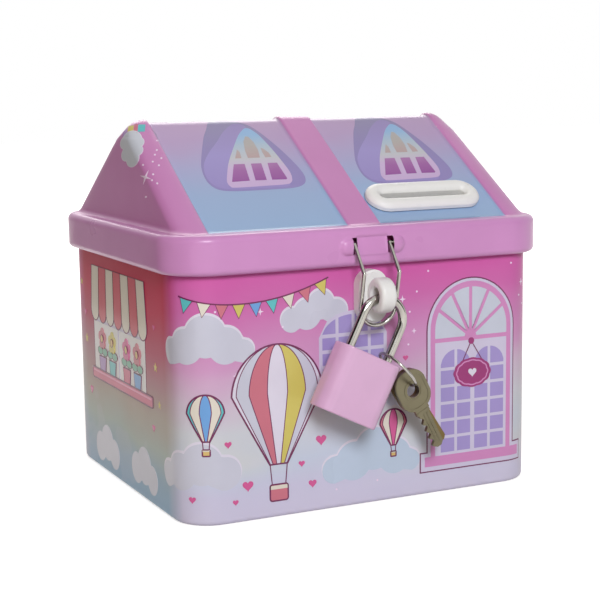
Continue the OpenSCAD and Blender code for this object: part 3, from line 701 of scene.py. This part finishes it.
def roundRectangle(x0, y0, x1, y1, r, count=6):
    corners = (x1 - r, y0 + r, -90), (x1 - r, y1 - r, 0), (x0 + r, y1 - r, 90), (x0 + r, y0 + r, 180)
    return [p for x, y, start in corners for p in arcPoints(x, y, r, start, start + 90, count)]


def disc(cx, cy, r, count=28):
    return arcPoints(cx, cy, r, 0, 360, count)[:-1]


def turns(count):
    return [2 * pi * i / count for i in range(count)]


def ellipse(cx, cy, rx, ry, count):
    return [(cx + rx * cos(a), cy + ry * sin(a)) for a in turns(count)]


def archOutline(cx, low, high, half):
    return [(cx - half, low), (cx + half, low)] + arcPoints(cx, high - half, half, 0, 180, 28)


def cloudOutline(puffs):
    # the outline of overlapping round puffs, seen from their middle
    cx, cy = (sum(p[axis] for p in puffs) / len(puffs) for axis in (0, 1))
    outline = []
    for a in turns(120):
        dx, dy = cos(a), sin(a)
        reach = 0.1
        for px, py, r in puffs:
            along = (px - cx) * dx + (py - cy) * dy
            off = (px - cx) ** 2 + (py - cy) ** 2 - along ** 2
            if off < r * r:
                reach = max(reach, along + sqrt(r * r - off))
        outline.append(onCircle(cx, cy, reach, a))
    return outline


def starOutline(cx, cy, r, points=5, inner=0.42, turn=90):
    return [onCircle(cx, cy, r * inner if i % 2 else r, radians(turn + 180 * i / points)) for i in range(2 * points)]


def heartOutline(cx, cy, size):
    points = []
    for t in turns(36):
        x = 16 * sin(t) ** 3
        y = 13 * cos(t) - 5 * cos(2 * t) - 2 * cos(3 * t) - cos(4 * t)
        points.append((cx + x * size / 32, cy + y * size / 32))
    return points


def lineAround(points, width, closed=True):
    # the outline, and for a closed line the hole, of a line drawn along the points
    before, after = points[-1:] + points[:-1], points[1:] + points[:1]
    if not closed:
        before, after = points[:1] + points[:-1], points[1:] + points[-1:]
    left, right = [], []
    for (x, y), (ax, ay), (bx, by) in zip(points, before, after):
        length = hypot(bx - ax, by - ay) or 1
        nx, ny = -(by - ay) / length, (bx - ax) / length
        left.append((x + nx * width / 2, y + ny * width / 2))
        right.append((x - nx * width / 2, y - ny * width / 2))
    if not closed:
        return [left + right[::-1]]
    area = sum(ax * y - x * ay for (x, y), (ax, ay) in zip(points, before))
    return (right, left) if area > 0 else (left, right)


def drawn(layer, points, width):
    return [("plum", layer, *lineAround(points, width, closed=False))]


def outlined(colour, layer, points, width):
    return [(colour, layer, points), ("plum", layer + 1, *lineAround(points, width))]


def smoothLoop(points):
    # a closed curve that runs smoothly through the points
    each, count = 5, len(points)
    loop = []
    for i in range(count):
        a, b, c, d = (points[(i + k) % count] for k in (-1, 0, 1, 2))
        for j in range(each):
            t = j / each
            loop.append(tuple(0.5 * (2 * b[m] + (c[m] - a[m]) * t + (2 * a[m] - 5 * b[m] + 4 * c[m] - d[m]) * t * t
                                     + (3 * b[m] - a[m] - 3 * c[m] + d[m]) * t ** 3) for m in (0, 1)))
    return loop


def headedPane(x0, x1, low, arch):
    # a pane whose head follows an arch
    middle, half, spring, rise = arch
    tops = [(x, spring + rise * sqrt(max(0, 1 - ((x - middle) / half) ** 2)))
            for x in (x1 + (x0 - x1) * i / 8 for i in range(9))]
    return [(x0, low), (x1, low)] + [(x, max(y, low + 0.05)) for x, y in tops]


def fanLight(w, layer):
    # a glass gore between each two rays, from the hub out to the ring
    (cx, ringR, spring), (hubX, hubZ) = w["ring"], w["hub"]
    shapes = []

    def reach(angle):
        # how far from the hub a ray meets the ring, or the ring's straight foot
        dx, dz = cos(angle), sin(angle)
        ox, oz = hubX - cx, hubZ - spring
        far = -(ox * dx + oz * dz) + sqrt(max(0, (ox * dx + oz * dz) ** 2 - ox * ox - oz * oz + ringR ** 2))
        if oz + far * dz < 0:
            far = (ringR - ox * copysign(1, dx)) / abs(dx)
        return far

    rays = [0, *w["rays"], 180]
    for i, (a, b) in enumerate(zip(rays, rays[1:])):
        a, b = radians(a), radians(b)
        thickA, thickB = (0 if i == 0 else w["ray"]), (0 if i == len(rays) - 2 else w["ray"])
        a0, b0 = a + thickA / reach(a), b - thickB / reach(b)
        spread = [a0 + (b0 - a0) * k / 8 for k in range(9)]
        near = w["hubR"]
        outline = [onCircle(hubX, hubZ, reach(t), t) for t in spread]
        outline += [onCircle(hubX, hubZ, near, t) for t in (b - thickB / near, a + thickA / near)]
        shapes.append(("fan", layer, outline))
    return shapes


def archedWindow(w):
    # a round-headed window with its sill, a fan light and two pairs of paned lights
    cx, top, half = w["x"], w["top"], w["half"]
    x0, y0, x1, y1 = w["sill"]
    shapes = []
    for layer, colour, inset in ((0, "plum", 0), (2, "frameLine", 0.42)):
        shapes += [(colour, layer, archOutline(cx, y0 + 3, top - inset, half - inset)),
                   (colour, layer + 1, rectangle(x0 + inset, y0 + inset, x1 - inset, y1 - inset))]
    low, inner = w["low"], half - 3.05
    shapes += [("frame", 4, archOutline(cx, y1 - 2.2, top - 1.25, half - 1.45)),
               ("frame", 5, rectangle(x0 + 1.8, y0 + 1.8, x1 - 1.3, y1 - 1.6)),
               ("frameLine", 5, rectangle(cx - inner, low - 0.9, cx + inner, w["rail"]))]
    shapes += fanLight(w, 5)
    for column, (p0, p1) in enumerate(w["columns"]):
        for row in range(5):
            y = low + w["pitch"] * row
            shapes.append(("pane", 6, rectangle(p0, y, p1, y + w["pitch"] - w["bar"])))
        shapes.append(("pane", 6, headedPane(p0, p1, low + w["pitch"] * 5, w["arches"][column // 2])))
    return shapes


def littleWindow(w):
    # the window behind the padlock
    cx, half = w["x"], w["half"]
    arch = (cx, half, w["spring"], w["rise"])
    edge = (cx, half + 1.1, w["spring"], w["rise"] + 1.1)
    shapes = [("frameLine", 2, headedPane(cx - half - 1.1, cx + half + 1.1, w["low"] - 1.1, edge))]
    wide = (2 * half + w["bar"]) / 4
    for i in range(4):
        p0 = cx - half + wide * i
        p1 = p0 + wide - w["bar"]
        for y0, y1 in w["rows"]:
            shapes.append(("pane", 3, rectangle(p0, y0, p1, y1)))
        shapes.append(("pane", 3, headedPane(p0, p1, w["head"], arch)))
    return shapes


def hangingPlaque(w):
    # a scalloped plate on two strings
    x, y, half, tall = w["x"], w["y"], w["half"], w["tall"]

    def scalloped(scale):
        points = []
        for a in turns(96):
            bulge = scale * (1 + 0.045 * abs(cos(6 * a)) - 0.02)
            points.append((x + half * bulge * cos(a), y + tall * bulge * sin(a)))
        return points

    shapes = []
    for side in (-1, 1):
        shapes += drawn(8, [(x - 0.4, w["knob"]), (x + side * 3.4, y + tall - 0.6)], 0.32)
    return shapes + [("plaque", 9, scalloped(1)), ("frame", 10, *lineAround(scalloped(0.83), 0.42)),
                     ("white", 10, heartOutline(x, y + 0.1, 3)), ("plaque", 9, disc(x - 0.4, w["knob"], 1.05))]


def balloon(cx, cy, r, gores, basket="gold"):
    # a hot-air balloon with coloured gores, plum outline and a little basket
    shapes = []
    neck = cy - 1.45 * r
    bend, throat, steps = 0.78, 0.22, 22

    def edge(f, t):
        # f is -1..1 across, t is 0 at the crown and 1 at the neck; below the bend the sides run straight
        a = pi * 0.5 * min(t, bend) * 1.28
        wide, y = r * sin(a * 0.98), cy + r * cos(a)
        if t >= bend:
            k = (t - bend) / throat
            wide, y = wide + (r * 0.2 - wide) * k, y + (neck - y) * k
        return cx + f * wide, y

    count = len(gores)
    for i, colour in enumerate(gores):
        f0, f1 = (sin(pi / 2 * (-1 + 2 * j / count)) for j in (i, i + 1))
        left, right = ([edge(f, k / steps) for k in range(1, steps + 1)] for f in (f0, f1))
        shapes.append((colour, 3, [edge(0, 0)] + left + right[::-1]))
        if i:
            shapes += drawn(4, [edge(0, 0)] + left, 0.28)
    rim = [edge(-1, k / steps) for k in range(steps + 1)] + [edge(1, k / steps) for k in range(steps, 0, -1)]
    shapes.append(("plum", 5, *lineAround(rim, 0.5)))
    low = neck - 0.42 * r
    for side in (-1, 1):
        shapes += drawn(3, [(cx + side * r * 0.19, neck), (cx + side * r * 0.15, low)], 0.3)
    shapes += outlined(basket, 3, roundRectangle(cx - 0.2 * r, low - 0.34 * r, cx + 0.2 * r, low, 0.05 * r), 0.45)
    return shapes + [("cream", 4, rectangle(cx - 0.2 * r, low - 0.1 * r, cx + 0.2 * r, low - 0.02 * r))]


def bunting(start, end, sag, count, colours):
    # triangular flags on a hanging line
    def at(t):
        return (start[0] + (end[0] - start[0]) * t, start[1] + (end[1] - start[1]) * t - sag * 4 * t * (1 - t))

    shapes = drawn(4, [at(i / 30) for i in range(31)], 0.4)
    flag = {"from": 0.12, "to": 0.88, "lean": 0.95, "long": 1.05}
    for i in range(count):
        (x0, y0), (x1, y1) = at((i + flag["from"]) / count), at((i + flag["to"]) / count)
        tip = ((x0 + x1) / 2 + (y1 - y0) * flag["lean"], (y0 + y1) / 2 - (x1 - x0) * flag["long"])
        shapes += outlined(colours[i % len(colours)], 2, [(x0, y0), tip, (x1, y1)], 0.3)
    return shapes


arched = {"x": 35.35, "half": 16, "top": 67.2, "sill": (16.9, 7, 54.8, 13.5), "low": 12.8, "pitch": 5.35,
          "bar": 0.95, "rail": 47.5, "ring": (35.35, 12.95, 51.2), "hub": (35.1, 48.8), "hubR": 2.1,
          "rays": (38, 65, 90, 116, 142), "ray": 0.55,
          "columns": ((24.4, 29.3), (30.3, 35.1), (36.6, 41.4), (42.4, 47.3)),
          "arches": ((29.8, 5.5, 39.5, 5.5), (41.9, 5.5, 39.5, 5.5))}


def moved(shapes, dx):
    return [(colour, layer, *([(x + dx, y) for x, y in loop] for loop in loops)) for colour, layer, *loops in shapes]


def skyOf(clouds=(), hearts=(), stars=(), dots=()):
    # clouds on white halos, hearts, four-pointed sparkles and small dots
    halo, glint, dotSize = 0.25, (4, 0.3), 0.32
    shapes = []
    for colour, puffs in clouds:
        shapes += [("white", 0, cloudOutline([(x, y + 2 * halo, r + halo) for x, y, r in puffs])),
                   (colour, 1, cloudOutline(puffs))]
    shapes += [("rose", 6, heartOutline(*heart)) for heart in hearts]
    shapes += [("spark", 2, starOutline(*star, *glint)) for star in stars]
    return shapes + [("spark", 2, disc(*dot, dotSize, 10)) for dot in dots]


def printBody(name, place, shapes, grid=()):
    printOn(name, place, "box", shapes, grid=grid)


def printFront():
    plaque = {"x": 35.75, "y": 37.2, "half": 6.7, "tall": 4.6, "knob": 47.2}
    shapes = archedWindow(arched) + hangingPlaque(plaque)
    shapes += littleWindow({"x": -5.9, "half": 10.3, "low": 39.6, "spring": 52.6, "rise": 6.4, "bar": 1,
                            "rows": ((39.6, 43.1), (44.2, 47.7), (48.8, 52.4)), "head": 53.5})
    shapes += skyOf([("cloud", [(-59, 53, 5.2), (-53, 56, 6.2), (-47, 53, 5.4), (-65, 51, 3.8), (-41.5, 51, 3.4)]),
                     ("cloud", [(-21, 60, 4.6), (-16.5, 62.5, 4.4), (-26, 58.6, 3.6), (-11.5, 60, 3.8)]),
                     ("cloudBlue", [(-6, 14, 6), (1, 17, 6.6), (8, 14, 5.6), (-12.5, 12, 4.2), (13.5, 12, 3.4)]),
                     ("cloud", [(-62, 16, 5.6), (-55, 18.5, 6.2), (-48, 15.5, 5), (-69, 14, 4)]),
                     ("cloud", [(10, 32, 2.6), (13, 33.4, 2.8), (7, 31.6, 2)])])
    shapes += bunting((-61, 67.5), (-14, 70.5), 4.2, 9, ("teal", "cream", "coral", "yellow", "blue"))
    shapes += balloon(-31, 37.5, 14.6, ("white", "cloud", "coral", "white", "yellow", "cloud", "white"), "coral")
    shapes += balloon(-53.5, 33.5, 5.6, ("teal", "cream", "blue", "cream", "teal"))
    shapes += balloon(7.6, 24, 4.6, ("coral", "cream", "rose", "cream", "coral"))
    shapes += skyOf((), [(-41, 11, 3.4), (-20, 9, 2.6), (-13, 34, 2.6), (-17, 22, 3.4), (-47, 24, 2.2),
                         (-23.5, 15.5, 2), (-58, 8, 2.2), (-45, 6.5, 1.8), (12, 44, 1.8)],
                    [(-8, 30, 1.1), (-44, 44, 1), (11, 62, 1.2), (55.5, 64, 1.2), (15, 52, 0.9), (-36, 62, 1.1)],
                    [(8.6, 66), (13.5, 58), (16, 64), (13, 48), (54, 60), (56.5, 57), (-50, 63), (-29, 57),
                     (-5, 36), (-12, 6), (2, 7), (20, 70), (50, 70.5)])
    cornerCuts = [(0, start, start + quarter + 0.1, quarter / 16) for start in (-wallX - quarter, wallX)]
    printBody("frontPrint", wallPlace, shapes, cornerCuts)


def printSide():
    # the shop window on the left side, under a scalloped awning, with flower pots on its sill
    shop = {"shift": -3.8, "half": 27, "low": 51.5, "high": 68.8, "stripes": 7, "taper": 0.94,
            "sill": (-27.5, 31, 30.5, 34.4), "pane": 25}
    half, low, high, pane = shop["half"], shop["low"], shop["high"], shop["pane"]
    x0, y0, x1, y1 = shop["sill"]
    shapes = outlined("shopPale", 0, rectangle(-pane, y1 - 0.4, pane, high - 3), 0.5)
    shapes += [("frameLine", 2, rectangle(-0.5, y1, 0.5, high - 4)),
               ("frameLine", 2, rectangle(-pane + 1, 50.4, pane - 1, 51.2))]
    wide = 2 * half / shop["stripes"]
    scallop = wide / 2
    for i in range(shop["stripes"]):
        left = i * wide - half
        hem = arcPoints(left + scallop, low + scallop * 0.75, scallop, 180, 360, 10)
        outline = [(left * shop["taper"], high)] + hem + [((left + wide) * shop["taper"], high)]
        shapes += outlined("awning" if i % 2 else "awningPale", 4, outline, 0.35)
    shapes += outlined("sill", 4, roundRectangle(x0, y0, x1, y1, 0.8), 0.45)
    shapes.append(("sillLight", 5, rectangle(x0 + 1, y1 - 1.2, x1 - 1, y1 - 0.6)))
    foot = y1 + 0.2
    rim, head = foot + 4.6, foot + 10.6
    pots = (-16.5, "coral", "pot"), (-6.5, "yellow", "teal"), (7.5, "rose", "sill"), (17.5, "coral", "blue")
    for x, flower, pot in pots:
        shapes += outlined(pot, 6, [(x - 2.6, foot), (x + 2.6, foot), (x + 3.4, rim), (x - 3.4, rim)], 0.35)
        for side in (-1, 1):
            shapes += outlined("leaf", 4 + side, ellipse(x + side * 2.4, foot + 6.4, 2.5, 1.3, 16), 0.2)
        shapes += [(flower, 6 + k, disc(*onCircle(x, head, 2.1, 2 * pi * k / 5 + 0.3), 1.6, 14)) for k in range(5)]
        shapes += outlined("gold", 12, disc(x, head, 1.3, 12), 0.2)
    hearts = (-30, 26, 3), (30.5, 25, 2.4), (-34, 52, 2.2), (33, 56, 1.8)
    stars = (-33.5, 43, 1.6), (33.5, 44, 1.5), (-37, 62, 1.2), (36, 33, 1.2)
    clouds = [(-22, 8, 5), (-15, 10.5, 6), (-8, 8, 5)], [(14, 9, 5), (21, 11, 6), (28, 8, 4.6)]
    shapes += [("rose", 2, heartOutline(*heart)) for heart in hearts]
    shapes += [("yellow", 2, starOutline(*star)) for star in stars]
    shapes += [("cloud", 1, cloudOutline(puffs)) for puffs in clouds]
    printBody("leftPrint", wallPlace, moved(shapes, shop["shift"] - sideMiddle))


def printRight():
    shapes = moved(archedWindow(arched), -arched["x"] - 8)
    shapes += balloon(26, 42, 10.5, ("coral", "cream", "yellow", "cream", "coral"))
    shapes += balloon(-35, 44, 5.2, ("teal", "white", "blue", "white", "teal"))
    shapes += skyOf([("cloud", [(13, 62, 3.4), (17.5, 63.5, 3.8), (22, 62, 3.2), (26, 61.4, 2.2)]),
                     ("cloud", [(-37, 62, 3.4), (-32.5, 63.6, 3.6), (-28, 62, 2.8)]),
                     ("cloudBlue", [(20, 10, 4.6), (26, 13, 5.6), (32, 11, 5), (37, 9.4, 3.2)])],
                    [(14, 24, 2.4), (36, 30, 2.2), (-33, 25, 2.4), (36, 56, 2), (13, 49, 1.8)],
                    [(37, 66, 1.1), (12, 36, 1.1), (-38, 33, 1)],
                    [(30, 67), (9.5, 56), (38, 47), (-30, 33), (-36, 17), (16, 31)])
    printBody("rightPrint", wallPlace, moved(shapes, sideMiddle))


def backPlace(u, v):
    return Vector((-u, body["d"], v)), Vector((0, 1, 0))


def printBack():
    # u runs to the right as seen from behind; the seam is a fine line at the far side
    shapes = []
    for x in (-26, 26):
        pair = {"x": x, "half": 9.4, "low": 24, "spring": 41.5, "rise": 8, "bar": 1,
                "rows": ((24, 29), (30.1, 35.1), (36.2, 41.2)), "head": 42.3}
        shapes += outlined("frame", 0, headedPane(x - 12.6, x + 12.6, 21.2, (x, 12.6, 41.5, 11.2)), 0.5)
        shapes += littleWindow(pair)
        shapes += outlined("sill", 4, roundRectangle(x - 14.4, 19, x + 14.4, 22, 0.7), 0.4)
    shapes += balloon(0, 36, 7.4, ("rose", "cream", "coral", "cream", "rose"))
    shapes += skyOf([("cloud", [(-40, 64, 3.6), (-35, 66, 4.2), (-30, 64, 3.4)]),
                     ("cloud", [(31, 63, 3.2), (35.5, 65, 3.8), (40, 63.4, 3.2), (44, 62.6, 2.2)]),
                     ("cloudBlue", [(-12, 9, 4.4), (-6, 11.6, 5.2), (0, 10, 4.6), (5, 8.8, 3.2)])],
                    [(-44, 14, 2.6), (22, 12, 2.4), (43, 16, 2.2), (-22, 8, 2), (-45, 48, 1.8), (45, 48, 2)],
                    [(-42, 33, 1.1), (33, 9, 1.1), (44, 33, 1), (-26, 60, 1)],
                    [(-20, 66), (-45, 40), (14, 20), (-13, 22), (46, 58), (30, 16), (12, 9)])
    seam = body["w"] * 2 / 3
    shapes.append(("seam", 0, rectangle(seam - 0.25, 2.2, seam + 0.25, 79.5)))
    printBody("backPrint", backPlace, shapes)


def printRidgeEnd():
    # a cloud with a few coloured stripes and sparkles at the roof's left end, laid on along slanting lines
    tin = tinLid.data
    skin = BVHTree.FromPolygons([v.co / mm for v in tin.vertices], [p.vertices[:] for p in tin.polygons])
    az, el = radians(25.4), radians(9.1)
    toward = Vector((sin(az) * cos(el), cos(az) * cos(el), -sin(el)))
    right = toward.cross(Vector((0, 0, 1))).normalized()
    up = right.cross(toward)
    middle = Vector((-55, -20, 105))

    def place(u, v):
        start = middle + right * u + up * v - toward * 60
        spot, out, _, _ = skin.ray_cast(start, toward)
        if spot is None or spot.y > 2:
            spot, out, _, _ = skin.find_nearest(middle + right * u + up * v)
        return spot, out

    cloud = [(-7.8, 6.83, 3.35), (-9.98, 6.83, 1.84), (-5.36, 6.09, 1.67), (-5.46, 3.48, 1.67), (-9.48, 3.15, 1.94),
             (-7.14, 1.14, 2.28)]
    dots = [(0.29, 6.66), (0.49, 3.31), (0.06, 1.71), (2.07, 0.54), (-0.38, -0.6), (-3.32, -1.47), (1.56, -1.87),
            (0.06, -4.75), (-0.18, -6.62), (1.5, -7.73), (-2.38, -11.24)]
    bands = [("pot", -11.75, 9.1, -9.54, 11.31), ("yellow", -9.28, 9.97, -7.34, 12.25),
             ("coral", -7.2, 9.43, -6.1, 12.58), ("teal", -5.93, 9.84, -3.72, 12.38)]
    shapes = [("white", 1, cloudOutline([(x, y, r + 0.22) for x, y, r in cloud])),
              ("ridgeCloud", 2, cloudOutline(cloud))]
    shapes += [(colour, 0, rectangle(*sides)) for colour, *sides in bands]
    shapes += [("spark", 2, disc(x, y, 0.3, 10)) for x, y in dots]
    shapes.append(("spark", 2, starOutline(-2.38, -5.39, 2.2, 4, 0.2, 66)))
    grid = [(0, -12, 12, 0.45), (1, -12, 12, 0.45)]
    printOn("ridgePrint", place, "lid", shapes, lift=0.05, grid=grid)


def dormer(cx, side, name):
    # a bell-shaped dormer drawn from its right, with a leaning window; s runs down the slope
    surround = [(-5.2, -1.2), (-7.2, 2.6), (-9.4, 6.5), (-11.9, 12.2), (-14.4, 18.4), (-15.8, 22.5), (-16.5, 27),
                (-16.2, 30.8), (-14.4, 33.7), (-10.6, 34.8), (-4, 35), (4, 34.9), (10.6, 34.5), (14.3, 32.9),
                (15.9, 30), (16.1, 26.2), (15.2, 20.8), (13.6, 14.6), (11.8, 9.2), (9.8, 4.4), (7.6, 1),
                (4.2, -1.2), (0.6, -2.4), (-2.8, -2.4)]
    near = [(2.9, 0.2), (-1.7, 3.9), (-6, 9.4), (-10.8, 15.2), (-13.9, 19.9), (-15.2, 23.2), (-15.9, 27),
            (-15.5, 30.4), (-13.7, 32.9), (-10.2, 34), (-4, 34.2), (4, 34), (9, 33.6), (9, 30),
            (4, 20), (5, 8), (6.4, 1.6)]
    window = [(4.8, 3.6), (2.2, 6.6), (-2.4, 14), (-6.4, 21), (-9.4, 27.8), (-10.3, 30.6), (-10, 32.6),
              (-8.6, 33.3), (0, 33.1), (8.1, 32.8), (10.3, 31.9), (11.4, 30), (12, 26.6), (11.6, 21),
              (10.8, 14.6), (9.6, 8), (8.4, 4.6), (7.2, 2.9), (6, 2.7)]
    lights = [[(-1, 14), (-3.3, 18.6), (-1.2, 18.6), (-0.6, 15.4)],
              [(4.3, 7.2), (5.3, 7.4), (6, 10.5), (5.9, 14.6), (5, 18.6), (1, 18.6), (1.4, 15), (2.7, 10)],
              [(7.1, 13.6), (7.9, 14), (8.9, 16.2), (9, 18.5), (6.9, 18.6), (6.9, 15.8)]]
    panes = [[(-4.9, 21.6), (-1.3, 21.6), (-2.8, 30.2), (-8.7, 30.4)],
             [(0.8, 21.6), (4.3, 21.6), (2.8, 30.2), (-0.9, 30.2)],
             [(6.4, 21.6), (9.6, 21.6), (9.8, 29.8), (9.4, 30.3), (4.6, 30.2)]]

    def at(points):
        return [(cx + x, s) for x, s in points]

    shapes = [("dormerEdge", 0, at(smoothLoop(surround))), ("dormerSide", 1, at(smoothLoop(near))),
              ("dormerWindow", 2, at(smoothLoop(window)))]
    shapes += [("dormerLight", 3, at(points)) for points in lights]
    shapes += [("dormerPane", 3, at(points)) for points in panes]
    foldCuts = [(1, -6, 0.2, 0.5)]
    printOn(name, roofPlace(side), "lid", shapes, grid=foldCuts)


def keyFace(name, rider, side, turn, colour):
    # the raised rims, collar and ridge on a key's outer face; side is -1 in front, 1 behind
    key = {"hole": (8.801, 35.952), "far": 1.35, "bow": (10.6, 13, 4.6), "ring": (2.6, 3), "tip": -19.2}
    c, s = cos(radians(turn)), sin(radians(turn))
    hx, hz = key["hole"]
    y = lock["y"] + side * key["far"]

    def place(u, v):
        return Vector((hx + u * c - v * s, y, hz + u * s + v * c)), Vector((0, side, 0))

    def bow(inset):
        w, h, r = key["bow"]
        return roundRectangle(-w / 2 + inset, -h / 2 + inset, w / 2 - inset, h / 2 - inset, r - inset, 10)

    inner, outer = key["ring"]
    shapes = [(colour, 0, bow(0.2), bow(1)), (colour, 0, disc(0, 0, outer, 32), disc(0, 0, inner, 32)),
              (colour, 0, roundRectangle(-2.1, -7.9, 2.1, -7.1, 0.2)),
              (colour, 0, roundRectangle(0.75, key["tip"], 1.5, -8.4, 0.2)),
              (colour, 0, roundRectangle(-0.35, key["tip"] + 0.8, 0.1, -8.4, 0.2))]
    printOn(name, place, rider, shapes, lift=0.13)


printFront()
printSide()
printRight()
printBack()
printRidgeEnd()
keyFace("keyFrontFace", "front_key", -1, 27, "keyFront")
keyFace("keyBackFace", "back_key", 1, 33, "keyBack")
for side, name in ((-1, "front"), (1, "back")):
    dormer(-24.9, side, name + "LeftDormer")
    dormer(27.6, side, name + "RightDormer")
print("prints are laid on")


nodesOf = {
    "sky": ["body_shell"], "lidPink": ["roof_lid"], "bareTin": ["base_plate"], "enamel": ["padlock_case"],
    "hinge": ["hinge_body_leaf", "hinge_lid_leaf", "hinge_pin"], "plastic": ["coin_slot_bezel", "staple_eye"],
    "nickel": ["hasp_wire", "padlock_shackle", "key_ring"], "brass": ["lock_plug", "key_pins", "driver_pins"],
    "spring": ["lock_latch", "latch_spring", "shackle_spring", "pin_springs", "plug_retaining_pin"],
    "ink_keyFront": ["key_front"], "ink_keyBack": ["key_back"],
}
for finishName, nodeNames in nodesOf.items():
    for nodeName in nodeNames:
        slots = nodes[nodeName].data.materials
        slots.clear()
        slots.append(finishes[finishName])
print("finishes are set")
